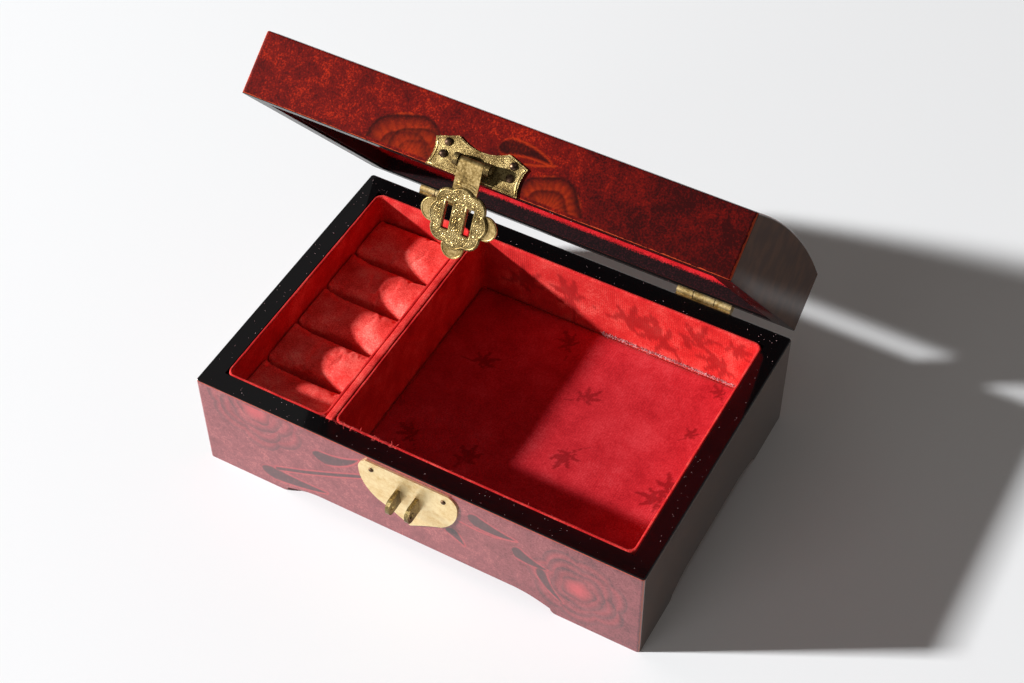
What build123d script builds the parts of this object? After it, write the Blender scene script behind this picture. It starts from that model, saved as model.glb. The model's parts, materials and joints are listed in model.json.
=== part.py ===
from build123d import *
import os
from math import cos, radians, sin, sqrt

os.makedirs("parts", exist_ok=True)

# Sizes in millimetres. The open box stands on its four bracket feet, +Z is up,
# +X runs to the right along the front and +Y runs to the back, where the hinges are.

# Wooden case
box_width = 200.0
box_depth = 134.0
base_height = 49.2
board = 8.5
corner_radius = 1.5
rim_radius = 0.7
front_foot = 36.5
side_foot = 26.0
apron_rise = 6.3
apron_run = 19.0
toe_radius = 2.4
bottom_lift = 9.5
bottom_thickness = 5.0

# Lid
lid_wall = 25.0
arch_rise = 4.7
lid_panel = 5.0
rim_gap = 0.3
lid_open = 52.8

# Hinges
hinge_centres = (-0.32 * box_width, 0.298 * box_width)
hinge_length = 24.5
hinge_offset = 3.4
barrel_radius = 2.8
middle_barrel = 10.0
leaf_thickness = 1.1
leaf_height = 15.0
leaf_web = 4.6
hinge_pin_radius = 1.1
pin_clearance = 0.1
barrel_gap = 0.35

# Screws of the hinges
screw_pitch = 15.0
screw_drop = 9.0
screw_head_radius = 2.0
screw_shank_radius = 0.9
screw_length = 7.0
screw_clearance = 0.1

# Linings and the divider
lining = 1.6
lining_corner = 4.0
lining_below_rim = 0.3
divider_x = -42.3
divider_thickness = 3.2
soft_clearance = 0.3
floor_pad = 4.5
floor_pad_round = 1.2
lid_lining = 1.2
lid_lining_recess = 1.0
lid_pad = 2.0

# Ring rolls
roll_count = 5
roll_end_height = 20.2
roll_end_crown = 0.8
roll_shoulder = 14.6
roll_crown = 8.6
roll_draw_in = 0.5

# Clasp
clasp_x = -1.3
plate_thickness = 0.8
lid_plate_half = 18.7
lid_plate_waist = 17.6
lid_plate_corner = 10.7
lid_plate_top_half = 10.2
lid_plate_top = 13.6
lid_plate_dip = 10.8
pin_standoff = 4.5
pin_height = 5.4
hasp_pin_radius = 0.9
ear_radius = 2.3
ear_thickness = 2.0
ear_gap = 0.4
pin_head = 0.7
pin_head_radius = 1.4

# Hasp flap, measured downwards from its pin
flap_tilt = 25.0
flap_knuckle = 1.7
flap_thickness = 0.9
strap_width = 9.8
flower_drop = 20.7
flap_core = 10.2
petal_pairs = 4
petal_reach = 12.4
side_petal_reach = 11.9
notch_reach = 10.9
back_lobe_drop = 10.9
back_lobe_radius = 4.6
flower_thickness = 0.9
flower_edge = 0.35
slot_pitch = 8.6
slot_width = 2.9
slot_height = 10.4

# Base plate of the clasp and its two lugs
base_plate_top = 47.3
base_plate_top_half = 18.6
base_plate_half = 22.2
base_plate_wide_z = 40.5
base_plate_lobe = 14.4
base_plate_lobe_z = 25.2
base_plate_tip_z = 17.0
lug_reach = 9.5
lug_thickness = 1.8
lug_low = 30.1
lug_high = 37.6
lug_round = 3.2
lug_hole_radius = 1.3
lug_hole_reach = 6.6

# Nails of the clasp
lid_nails = ((-13.3, 10.2), (-13.6, 5.6), (13.6, 5.6), (13.3, 10.2))
lid_nail_head = 1.6
base_nails = ((-16.2, 43.0), (16.2, 43.0))
base_nail_head = 1.1
nail_head_height = 0.9
nail_shank_radius = 0.6
nail_length = 6.5
nail_clearance = 0.08

# Places that follow from the sizes above
half_width = box_width / 2
half_depth = box_depth / 2
inner_half_width = half_width - board
inner_half_depth = half_depth - board
hinge_height = base_height + rim_gap / 2
barrel_bore = hinge_pin_radius + pin_clearance
floor_top = bottom_lift + bottom_thickness
slant = radians(lid_open)

# The origin lies on the table under the middle of the open box, so the case stands
# forward of it by half of what the tilted lid reaches out further than the lugs do.
front_reach = half_depth + lug_reach
lid_back_reach = (lid_wall + rim_gap / 2) * sin(slant) - hinge_offset * cos(slant)
back_reach = half_depth + hinge_offset + lid_back_reach
base_centre_y = (front_reach - back_reach) / 2


def tilted_frame(origin, angle):
    """Frame that is turned about X so that its front rises by the angle in degrees."""
    return Plane(origin, x_dir=(1, 0, 0), z_dir=(0, sin(radians(angle)), cos(radians(angle))))


def facing_up(frame, x=0.0, y=0.0, z=0.0):
    """Sketch plane across the frame, seen from above."""
    return Plane(frame.from_local_coords((x, y, z)), x_dir=frame.x_dir, z_dir=frame.z_dir)


def facing_front(frame, x=0.0, y=0.0, z=0.0):
    """Sketch plane seen from the front: its own x runs right and its own y runs up."""
    return Plane(frame.from_local_coords((x, y, z)), x_dir=frame.x_dir, z_dir=-frame.y_dir)


def facing_right(frame, x=0.0, y=0.0, z=0.0):
    """Sketch plane seen from the right: its own x runs to the back and its own y runs up."""
    return Plane(frame.from_local_coords((x, y, z)), x_dir=frame.y_dir, z_dir=frame.x_dir)


# The base's frame lies on the table under the case. The lid's frame lies on the lid's rim,
# above the same point when the lid is shut, and turns with the lid about the hinge pins.
base_frame = tilted_frame((0, base_centre_y, 0), 0)
hinge_axis = base_frame.from_local_coords((0, half_depth + hinge_offset, hinge_height))
hinge_frame = tilted_frame(hinge_axis, lid_open)
lid_frame = tilted_frame(
    hinge_frame.from_local_coords((0, -half_depth - hinge_offset, rim_gap / 2)), lid_open
)
hasp_frame = tilted_frame(
    lid_frame.from_local_coords((clasp_x, -half_depth - pin_standoff, pin_height)),
    lid_open - flap_tilt,
)
lid_up = Axis((0, 0, 0), lid_frame.z_dir)
lid_back = Axis((0, 0, 0), lid_frame.y_dir)


# Case

def apron_outline(half, step):
    """Half of a board with a bracket foot, mirrored: the apron rises between two feet."""
    with BuildLine() as outline:
        Polyline((0, base_height), (half, base_height), (half, 0), (step, 0))
        low = toe_radius * (1 - cos(radians(45)))
        ThreePointArc((step, 0), (step - toe_radius + low, low), (step - toe_radius, toe_radius))
        Bezier(
            (step - toe_radius, toe_radius),
            (step - toe_radius - apron_run * 0.15, toe_radius + apron_rise * 0.15),
            (step - apron_run * 0.6, apron_rise),
            (step - apron_run, apron_rise),
        )
        Line((step - apron_run, apron_rise), (0, apron_rise))
        mirror(about=Plane.YZ)
    make_face(outline.edges())


def screw_points(hinge_x, height):
    """Two screws side by side in one hinge leaf."""
    return [(hinge_x + side * screw_pitch / 2, height) for side in (-1, 1)]


with BuildPart() as base_front_board:
    with BuildSketch(facing_front(base_frame, y=-half_depth)):
        apron_outline(half_width, half_width - front_foot)
    extrude(amount=-board)
    fillet(base_front_board.edges().filter_by(Axis.Z).group_by(Axis.Y)[0], corner_radius)
    fillet(base_front_board.faces().sort_by(Axis.Z)[-1].edges().sort_by(Axis.Y)[:-1], rim_radius)
    with BuildSketch(facing_front(base_frame, y=-half_depth)):
        with Locations(*[(clasp_x + x, z) for x, z in base_nails]):
            Circle(nail_shank_radius + nail_clearance)
    extrude(amount=-nail_length, mode=Mode.SUBTRACT)

with BuildPart() as base_back_board:
    with BuildSketch(facing_front(base_frame, y=inner_half_depth)):
        apron_outline(half_width, half_width - front_foot)
    extrude(amount=-board)
    fillet(base_back_board.edges().filter_by(Axis.Z).group_by(Axis.Y)[-1], corner_radius)
    fillet(base_back_board.faces().sort_by(Axis.Z)[-1].edges().sort_by(Axis.Y)[1:], rim_radius)
    with BuildSketch(facing_front(base_frame, y=half_depth)):
        for hinge_x in hinge_centres:
            with Locations(*screw_points(hinge_x, hinge_height - screw_drop)):
                Circle(screw_shank_radius + screw_clearance)
    extrude(amount=screw_length, mode=Mode.SUBTRACT)

with BuildPart() as base_left_board:
    with BuildSketch(facing_right(base_frame, x=-half_width)):
        apron_outline(inner_half_depth, half_depth - side_foot)
    extrude(amount=board)
    top_edges = base_left_board.edges().filter_by(Axis.Y).group_by(Axis.Z)[-1]
    fillet(top_edges.sort_by(Axis.X)[0], rim_radius)

with BuildPart() as base_right_board:
    with BuildSketch(facing_right(base_frame, x=inner_half_width)):
        apron_outline(inner_half_depth, half_depth - side_foot)
    extrude(amount=board)
    top_edges = base_right_board.edges().filter_by(Axis.Y).group_by(Axis.Z)[-1]
    fillet(top_edges.sort_by(Axis.X)[-1], rim_radius)

with BuildPart() as base_bottom_panel:
    with BuildSketch(facing_up(base_frame, z=bottom_lift)):
        Rectangle(2 * inner_half_width, 2 * inner_half_depth)
    extrude(amount=bottom_thickness)


# Linings, divider, floor pad and ring rolls

divider_left = divider_x - divider_thickness / 2
divider_right = divider_x + divider_thickness / 2


def lining_band(frame, low, high, left, right, half, thickness):
    """Cloth-covered card bent round the four walls of one compartment, open in the middle."""
    middle = (left + right) / 2
    width = right - left
    with BuildSketch(facing_up(frame, x=middle, z=low)) as ring:
        RectangleRounded(width, 2 * half, lining_corner)
        RectangleRounded(
            width - 2 * thickness, 2 * (half - thickness), lining_corner - thickness, mode=Mode.SUBTRACT
        )
    extrude(ring.sketch, amount=high - low)


lining_top = base_height - lining_below_rim

with BuildPart() as divider_board:
    with BuildSketch(facing_up(base_frame, x=divider_x, z=floor_top)):
        Rectangle(divider_thickness, 2 * inner_half_depth)
    extrude(amount=lining_top - floor_top)
    top_edges = divider_board.faces().sort_by(Axis.Z)[-1].edges().filter_by(Axis.Y)
    fillet(top_edges, divider_thickness * 0.4)

with BuildPart() as main_wall_lining:
    lining_band(
        base_frame, floor_top, lining_top, divider_right, inner_half_width, inner_half_depth, lining
    )
    chamfer(main_wall_lining.faces().sort_by(Axis.Z)[-1].edges(), lining * 0.3)

with BuildPart() as ring_wall_lining:
    lining_band(
        base_frame, floor_top, lining_top, -inner_half_width, divider_left, inner_half_depth, lining
    )
    chamfer(ring_wall_lining.faces().sort_by(Axis.Z)[-1].edges(), lining * 0.3)

pad_inset = lining + soft_clearance
pad_left = divider_right + pad_inset
pad_right = inner_half_width - pad_inset
pad_depth = 2 * (inner_half_depth - pad_inset)
with BuildPart() as main_floor_pad:
    with BuildSketch(facing_up(base_frame, (pad_left + pad_right) / 2, z=floor_top + soft_clearance / 2)):
        RectangleRounded(pad_right - pad_left, pad_depth, lining_corner - lining)
    extrude(amount=floor_pad)
    fillet(main_floor_pad.faces().sort_by(Axis.Z)[-1].edges(), floor_pad_round)

roll_left = -inner_half_width + pad_inset
roll_right = divider_left - pad_inset
roll_pitch = (pad_depth + soft_clearance) / roll_count
roll_half = (roll_pitch - soft_clearance) / 2


def roll_section(half, shoulder, crown):
    """Cut across one roll: flat underneath, upright sides and an arched top."""
    with BuildLine() as outline:
        Polyline((-half, shoulder), (-half, 0), (half, 0), (half, shoulder))
        ThreePointArc((half, shoulder), (0, shoulder + crown), (-half, shoulder))
    make_face(outline.edges())


ring_rolls = []
for number in range(roll_count):
    roll_y = (number - (roll_count - 1) / 2) * roll_pitch
    roll_z = floor_top + soft_clearance / 2
    with BuildPart() as roll:
        with BuildSketch(facing_right(base_frame, roll_left, roll_y, roll_z)):
            roll_section(roll_half, roll_end_height, roll_end_crown)
        with BuildSketch(facing_right(base_frame, (roll_left + roll_right) / 2, roll_y, roll_z)):
            roll_section(roll_half - roll_draw_in, roll_shoulder, roll_crown)
        with BuildSketch(facing_right(base_frame, roll_right, roll_y, roll_z)):
            roll_section(roll_half, roll_end_height, roll_end_crown)
        loft()
        with BuildSketch(facing_up(base_frame, x=(roll_left + roll_right) / 2, z=floor_top)):
            RectangleRounded(
                roll_right - roll_left, pad_depth, lining_corner - lining
            )
        extrude(amount=base_height, mode=Mode.INTERSECT)
    roll.part.label = f"ring_roll_{number + 1}"
    ring_rolls.append(roll)


# Lid, drawn in the lid's own frame

arch_radius = (half_depth**2 + arch_rise**2) / (2 * arch_rise)
arch_centre = lid_wall + arch_rise - arch_radius


def arch_height(y, below=0.0):
    """Height above the lid's rim of the arched top, or of a surface parallel to it."""
    return arch_centre + sqrt((arch_radius - below) ** 2 - y**2)


def arched_outline(start, end, low, below):
    """Side view of a board that stands on a level edge under the arch."""
    with BuildLine() as outline:
        Polyline(
            (start, arch_height(start, below)), (start, low), (end, low), (end, arch_height(end, below))
        )
        middle = (start + end) / 2
        ThreePointArc(
            (end, arch_height(end, below)),
            (middle, arch_height(middle, below)),
            (start, arch_height(start, below)),
        )
    make_face(outline.edges())


with BuildPart() as lid_front_board:
    with BuildSketch(facing_right(lid_frame, x=-half_width)):
        arched_outline(-half_depth, -inner_half_depth, 0, lid_panel)
    extrude(amount=box_width)
    fillet(lid_front_board.edges().filter_by(lid_up).group_by(lid_back)[0], corner_radius)
    with BuildSketch(facing_front(lid_frame, y=-half_depth)):
        with Locations(*[(clasp_x + x, z) for x, z in lid_nails]):
            Circle(nail_shank_radius + nail_clearance)
    extrude(amount=-nail_length, mode=Mode.SUBTRACT)

with BuildPart() as lid_back_board:
    with BuildSketch(facing_right(lid_frame, x=-half_width)):
        arched_outline(inner_half_depth, half_depth, 0, lid_panel)
    extrude(amount=box_width)
    fillet(lid_back_board.edges().filter_by(lid_up).group_by(lid_back)[-1], corner_radius)
    with BuildSketch(facing_front(lid_frame, y=half_depth)):
        for hinge_x in hinge_centres:
            with Locations(*screw_points(hinge_x, screw_drop - rim_gap / 2)):
                Circle(screw_shank_radius + screw_clearance)
    extrude(amount=screw_length, mode=Mode.SUBTRACT)

with BuildPart() as lid_left_board:
    with BuildSketch(facing_right(lid_frame, x=-half_width)):
        arched_outline(-inner_half_depth, inner_half_depth, 0, lid_panel)
    extrude(amount=board)

with BuildPart() as lid_right_board:
    with BuildSketch(facing_right(lid_frame, x=inner_half_width)):
        arched_outline(-inner_half_depth, inner_half_depth, 0, lid_panel)
    extrude(amount=board)

with BuildPart() as lid_top_panel:
    with BuildSketch(facing_right(lid_frame, x=-half_width)):
        with BuildLine():
            outer = ThreePointArc(
                (-half_depth, arch_height(half_depth)),
                (0, arch_height(0)),
                (half_depth, arch_height(half_depth)),
            )
            inner = ThreePointArc(
                (-half_depth, arch_height(half_depth, lid_panel)),
                (0, arch_height(0, lid_panel)),
                (half_depth, arch_height(half_depth, lid_panel)),
            )
            Line(outer @ 0, inner @ 0)
            Line(outer @ 1, inner @ 1)
        make_face()
    extrude(amount=box_width)
    fillet(lid_top_panel.edges().filter_by(lid_up), corner_radius)
    fillet(lid_top_panel.faces().sort_by(lid_up)[-1].edges(), rim_radius)


def cut_above_arch(below):
    """Takes away what stands above a surface parallel to the arch."""
    with BuildSketch(facing_right(lid_frame, x=-half_width)) as above:
        with BuildLine():
            ceiling = ThreePointArc(
                (-half_depth, arch_height(half_depth, below)),
                (0, arch_height(0, below)),
                (half_depth, arch_height(half_depth, below)),
            )
            Polyline(
                ceiling @ 0, (-half_depth, 2 * lid_wall), (half_depth, 2 * lid_wall), ceiling @ 1
            )
        make_face()
    extrude(above.sketch, amount=box_width, mode=Mode.SUBTRACT)


with BuildPart() as lid_wall_lining:
    lining_band(
        lid_frame, lid_lining_recess, lid_wall, -inner_half_width, inner_half_width,
        inner_half_depth, lid_lining,
    )
    cut_above_arch(lid_panel + lid_pad + 2 * soft_clearance)

with BuildPart() as lid_top_pad:
    with BuildSketch(facing_up(lid_frame)):
        RectangleRounded(
            2 * (inner_half_width - soft_clearance), 2 * (inner_half_depth - soft_clearance), lining_corner
        )
    extrude(amount=2 * lid_wall)
    cut_above_arch(lid_panel + soft_clearance)
    with BuildSketch(facing_right(lid_frame, x=-half_width)):
        arched_outline(-half_depth, half_depth, 0, lid_panel + soft_clearance + lid_pad)
    extrude(amount=box_width, mode=Mode.SUBTRACT)


# Hinges: two knuckles on the base's leaf, one between them on the lid's leaf

end_barrel = (hinge_length - middle_barrel) / 2


def hinge_leaf(frame, hinge_x, axis_z, up, barrels):
    """One leaf on the back face. up is 1 for the lid's leaf and -1 for the base's leaf."""
    axis_y = half_depth + hinge_offset
    leaf_middle = axis_z + up * (leaf_height / 2 + barrel_gap)
    with BuildSketch(facing_front(frame, hinge_x, half_depth, leaf_middle)) as leaf:
        RectangleRounded(hinge_length, leaf_height, leaf_thickness)
    extrude(leaf.sketch, amount=-leaf_thickness)
    for start, length in barrels:
        with BuildSketch(facing_right(frame, hinge_x + start)) as barrel:
            with BuildLine():
                Polyline(
                    (half_depth, axis_z + up * barrel_gap),
                    (half_depth, axis_z + up * leaf_web),
                    (half_depth + leaf_thickness, axis_z + up * leaf_web),
                    (axis_y, axis_z + up * barrel_radius * 0.96),
                    (axis_y, axis_z),
                    close=True,
                )
            make_face()
            with Locations((axis_y, axis_z)):
                Circle(barrel_radius)
        extrude(barrel.sketch, amount=length)
    with BuildSketch(facing_right(frame, hinge_x - hinge_length / 2)) as bore:
        with Locations((axis_y, axis_z)):
            Circle(barrel_bore)
    extrude(bore.sketch, amount=hinge_length, mode=Mode.SUBTRACT)


def hinge_relief(frame, hinge_x, axis_z, gaps):
    """Room in a leaf for the other leaf's barrels."""
    for start, length in gaps:
        with BuildSketch(facing_right(frame, hinge_x + start)) as room:
            with Locations((half_depth + hinge_offset, axis_z)):
                Circle(barrel_radius + barrel_gap)
        extrude(room.sketch, amount=length, mode=Mode.SUBTRACT)


def countersinks(frame, hinge_x, height):
    """Countersunk holes for the two screws of a leaf."""
    for point in screw_points(hinge_x, height):
        with BuildSketch(facing_front(frame, y=half_depth + leaf_thickness)) as mouth:
            with Locations(point):
                Circle(screw_head_radius + screw_clearance)
        with BuildSketch(facing_front(frame, y=half_depth)) as throat:
            with Locations(point):
                Circle(screw_shank_radius + screw_clearance)
        loft([mouth.sketch, throat.sketch], mode=Mode.SUBTRACT)


def screws(frame, height):
    """Countersunk screws of both hinges, each with a head and a shank."""
    for hinge_x in hinge_centres:
        for point in screw_points(hinge_x, height):
            with BuildSketch(facing_front(frame, y=half_depth + leaf_thickness)) as head:
                with Locations(point):
                    Circle(screw_head_radius)
            with BuildSketch(facing_front(frame, y=half_depth)) as shank:
                with Locations(point):
                    Circle(screw_shank_radius)
            loft([head.sketch, shank.sketch])
            extrude(shank.sketch, amount=screw_length - screw_clearance)


outer_starts = (-hinge_length / 2, hinge_length / 2 - end_barrel)
outer_barrels = [(start, end_barrel) for start in outer_starts]
inner_barrel = [(-middle_barrel / 2 + barrel_gap, middle_barrel - 2 * barrel_gap)]
inner_gap = [(-middle_barrel / 2, middle_barrel)]
outer_gaps = [(start - barrel_gap, end_barrel + 2 * barrel_gap) for start in outer_starts]

hinge_parts = []
for side, hinge_x in zip(("left", "right"), hinge_centres):
    with BuildPart() as base_leaf:
        hinge_leaf(base_frame, hinge_x, hinge_height, -1, outer_barrels)
        hinge_relief(base_frame, hinge_x, hinge_height, inner_gap)
        countersinks(base_frame, hinge_x, hinge_height - screw_drop)
    base_leaf.part.label = f"{side}_hinge_base_leaf"

    with BuildPart() as lid_leaf:
        hinge_leaf(lid_frame, hinge_x, -rim_gap / 2, 1, inner_barrel)
        hinge_relief(lid_frame, hinge_x, -rim_gap / 2, outer_gaps)
        countersinks(lid_frame, hinge_x, screw_drop - rim_gap / 2)
    lid_leaf.part.label = f"{side}_hinge_lid_leaf"

    with BuildPart() as hinge_pin:
        with BuildSketch(
            facing_right(base_frame, hinge_x - hinge_length / 2, half_depth + hinge_offset, hinge_height)
        ):
            Circle(hinge_pin_radius)
        extrude(amount=hinge_length)
    hinge_pin.part.label = f"{side}_hinge_pin"
    hinge_parts += [base_leaf, lid_leaf, hinge_pin]

with BuildPart() as hinge_screws_base:
    screws(base_frame, hinge_height - screw_drop)

with BuildPart() as hinge_screws_lid:
    screws(lid_frame, screw_drop - rim_gap / 2)


# Clasp: lid plate with two ears, pin, flap, base plate with two lugs, nails

def nails(frame, points, head_radius):
    """Domed heads on the plate and shanks through it into the front face."""
    with BuildSketch(facing_front(frame, y=-half_depth - plate_thickness)) as heads:
        with Locations(*[(clasp_x + x, z) for x, z in points]):
            Circle(head_radius)
    domes = extrude(heads.sketch, amount=nail_head_height)
    outward = Axis((0, 0, 0), -frame.y_dir)
    chamfer(domes.faces().sort_by(outward)[-len(points):].edges(), nail_head_height * 0.6)
    with BuildSketch(facing_front(frame, y=-half_depth - plate_thickness)) as shanks:
        with Locations(*[(clasp_x + x, z) for x, z in points]):
            Circle(nail_shank_radius)
    extrude(shanks.sketch, amount=-nail_length - plate_thickness + nail_clearance)


def nail_holes(frame, points):
    """Holes in a plate for the nails."""
    with BuildSketch(facing_front(frame, y=-half_depth)) as holes:
        with Locations(*[(clasp_x + x, z) for x, z in points]):
            Circle(nail_shank_radius + nail_clearance)
    extrude(holes.sketch, amount=plate_thickness, mode=Mode.SUBTRACT)


strap_half = strap_width / 2
ear_start = strap_half + ear_gap
pin_bore = hasp_pin_radius + pin_clearance
with BuildPart() as clasp_lid_plate:
    with BuildSketch(facing_front(lid_frame, clasp_x, -half_depth)):
        with BuildLine():
            Line((0, 0), (lid_plate_half, 0))
            ThreePointArc(
                (lid_plate_half, 0),
                (lid_plate_waist, lid_plate_corner / 2),
                (lid_plate_half, lid_plate_corner),
            )
            Line((lid_plate_half, lid_plate_corner), (lid_plate_top_half, lid_plate_top))
            ThreePointArc(
                (lid_plate_top_half, lid_plate_top),
                (0, lid_plate_dip),
                (-lid_plate_top_half, lid_plate_top),
            )
            Line((-lid_plate_half, lid_plate_corner), (-lid_plate_top_half, lid_plate_top))
            ThreePointArc(
                (-lid_plate_half, 0),
                (-lid_plate_waist, lid_plate_corner / 2),
                (-lid_plate_half, lid_plate_corner),
            )
            Line((0, 0), (-lid_plate_half, 0))
        make_face()
    extrude(amount=plate_thickness)
    nail_holes(lid_frame, lid_nails)
    for ear_left in (-ear_start - ear_thickness, ear_start):
        with BuildSketch(facing_right(lid_frame, clasp_x + ear_left, -half_depth, pin_height)):
            with Locations((-pin_standoff, 0)):
                Circle(ear_radius)
            with Locations((-pin_standoff / 2, 0)):
                Rectangle(pin_standoff, 2 * ear_radius)
            with Locations((-pin_standoff, 0)):
                Circle(pin_bore, mode=Mode.SUBTRACT)
        extrude(amount=ear_thickness)

pin_half = ear_start + ear_thickness + pin_clearance
with BuildPart() as hasp_pin:
    with BuildSketch(facing_right(hasp_frame, -pin_half)):
        Circle(hasp_pin_radius)
    extrude(amount=2 * pin_half)
    for head_start in (-pin_half - pin_head, pin_half):
        with BuildSketch(facing_right(hasp_frame, head_start)):
            Circle(pin_head_radius)
        extrude(amount=pin_head)
    chamfer(hasp_pin.faces().sort_by(Axis.X)[0].edges(), pin_head * 0.6)
    chamfer(hasp_pin.faces().sort_by(Axis.X)[-1].edges(), pin_head * 0.6)


def flap_slots(depth):
    """Two upright slots that pass over the lugs."""
    with BuildSketch(facing_front(hasp_frame, y=-flap_knuckle + flap_thickness, z=-flower_drop)) as slots:
        with Locations((-slot_pitch / 2, 0), (slot_pitch / 2, 0)):
            Rectangle(slot_width, slot_height)
    extrude(slots.sketch, amount=depth, mode=Mode.SUBTRACT)


with BuildPart() as hasp_strap:
    with BuildSketch(facing_front(hasp_frame, y=-flap_knuckle + flap_thickness)):
        with Locations((0, -flower_drop / 2)):
            Rectangle(strap_width, flower_drop)
        with Locations((0, -flower_drop)):
            Circle(flap_core)
            with Locations((-back_lobe_drop, 0), (back_lobe_drop, 0), (0, -back_lobe_drop)):
                Circle(back_lobe_radius)
    extrude(amount=flap_thickness)
    with BuildSketch(facing_right(hasp_frame, -strap_half)):
        Circle(flap_knuckle)
    extrude(amount=strap_width)
    with BuildSketch(facing_right(hasp_frame, -strap_half)):
        Circle(pin_bore)
    extrude(amount=strap_width, mode=Mode.SUBTRACT)
    flap_slots(flap_thickness)


def flower_point(reach, angle):
    """Point of the flower's edge, at an angle in degrees round its centre."""
    return (reach * cos(radians(angle)), reach * sin(radians(angle)))


flap_outward = Axis((0, 0, 0), -hasp_frame.y_dir)
with BuildPart() as hasp_flower:
    with BuildSketch(facing_front(hasp_frame, y=-flap_knuckle, z=-flower_drop)):
        with BuildLine():
            for number in range(2 * petal_pairs):
                middle = number * 180 / petal_pairs
                reach = petal_reach if number % 2 else side_petal_reach
                ThreePointArc(
                    flower_point(notch_reach, middle - 90 / petal_pairs),
                    flower_point(reach, middle),
                    flower_point(notch_reach, middle + 90 / petal_pairs),
                )
        make_face()
    extrude(amount=flower_thickness)
    chamfer(hasp_flower.faces().sort_by(flap_outward)[-1].edges(), flower_edge)
    flap_slots(flap_thickness + flower_thickness)

base_plate_lug_x = (clasp_x - slot_pitch / 2, clasp_x + slot_pitch / 2)
with BuildPart() as clasp_base_plate:
    with BuildSketch(facing_front(base_frame, clasp_x, -half_depth)):
        with BuildLine():
            Line((0, base_plate_top), (base_plate_top_half, base_plate_top))
            ThreePointArc(
                (base_plate_top_half, base_plate_top),
                (base_plate_half - 1, (base_plate_top + base_plate_wide_z) / 2 + 1),
                (base_plate_half, base_plate_wide_z),
            )
            TangentArc(
                (base_plate_half, base_plate_wide_z), (base_plate_lobe, base_plate_lobe_z), tangent=(0, -1)
            )
            Bezier(
                (base_plate_lobe, base_plate_lobe_z),
                (base_plate_lobe - 5, base_plate_lobe_z - 2.2),
                (base_plate_lobe / 4, base_plate_tip_z + 2.2),
                (0, base_plate_tip_z),
            )
            mirror(about=Plane.YZ)
        make_face()
    extrude(amount=plate_thickness)
    nail_holes(base_frame, base_nails)
    for lug_x in base_plate_lug_x:
        with BuildSketch(facing_front(base_frame, lug_x, -half_depth, (lug_low + lug_high) / 2)):
            Rectangle(lug_thickness, lug_high - lug_low)
        extrude(amount=plate_thickness, mode=Mode.SUBTRACT)


def clasp_lug(lug_x):
    """Upright tab with a rounded nose and a hole for a small lock."""
    with BuildSketch(facing_right(base_frame, lug_x - lug_thickness / 2, -half_depth)) as tab:
        with Locations((-lug_reach / 2, (lug_low + lug_high) / 2)):
            nose = Rectangle(lug_reach, lug_high - lug_low)
        fillet(nose.vertices().sort_by(Axis.X)[:2], lug_round)
        with Locations((-lug_hole_reach, (lug_low + lug_high) / 2)):
            Circle(lug_hole_radius, mode=Mode.SUBTRACT)
    extrude(tab.sketch, amount=lug_thickness)


with BuildPart() as clasp_left_lug:
    clasp_lug(base_plate_lug_x[0])

with BuildPart() as clasp_right_lug:
    clasp_lug(base_plate_lug_x[1])

with BuildPart() as lid_plate_nails:
    nails(lid_frame, lid_nails, lid_nail_head)

with BuildPart() as base_plate_nails:
    nails(base_frame, base_nails, base_nail_head)


base_front_board.part.label = "base_front_board"
base_back_board.part.label = "base_back_board"
base_left_board.part.label = "base_left_board"
base_right_board.part.label = "base_right_board"
base_bottom_panel.part.label = "base_bottom_panel"
divider_board.part.label = "divider_board"
main_wall_lining.part.label = "main_wall_lining"
ring_wall_lining.part.label = "ring_wall_lining"
main_floor_pad.part.label = "main_floor_pad"
lid_front_board.part.label = "lid_front_board"
lid_back_board.part.label = "lid_back_board"
lid_left_board.part.label = "lid_left_board"
lid_right_board.part.label = "lid_right_board"
lid_top_panel.part.label = "lid_top_panel"
lid_wall_lining.part.label = "lid_wall_lining"
lid_top_pad.part.label = "lid_top_pad"
hinge_screws_base.part.label = "hinge_screws_base"
hinge_screws_lid.part.label = "hinge_screws_lid"
clasp_lid_plate.part.label = "clasp_lid_plate"
hasp_pin.part.label = "hasp_pin"
hasp_strap.part.label = "hasp_strap"
hasp_flower.part.label = "hasp_flower"
clasp_base_plate.part.label = "clasp_base_plate"
clasp_left_lug.part.label = "clasp_left_lug"
clasp_right_lug.part.label = "clasp_right_lug"
lid_plate_nails.part.label = "lid_plate_nails"
base_plate_nails.part.label = "base_plate_nails"

pieces = [
    base_front_board, base_back_board, base_left_board, base_right_board, base_bottom_panel,
    divider_board, main_wall_lining, ring_wall_lining, main_floor_pad,
    lid_front_board, lid_back_board, lid_left_board, lid_right_board, lid_top_panel,
    lid_wall_lining, lid_top_pad, hinge_screws_base, hinge_screws_lid,
    clasp_lid_plate, hasp_pin, hasp_strap, hasp_flower,
    clasp_base_plate, clasp_left_lug, clasp_right_lug, lid_plate_nails, base_plate_nails,
]
for piece in pieces + ring_rolls + hinge_parts:
    export_step(piece.part, f"parts/{piece.part.label}.step")
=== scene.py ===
import json
from math import atan2, cos, exp, floor, hypot, pi, radians, sin, sqrt

import bmesh
import bpy
from mathutils import Euler, Matrix, Vector, noise


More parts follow.
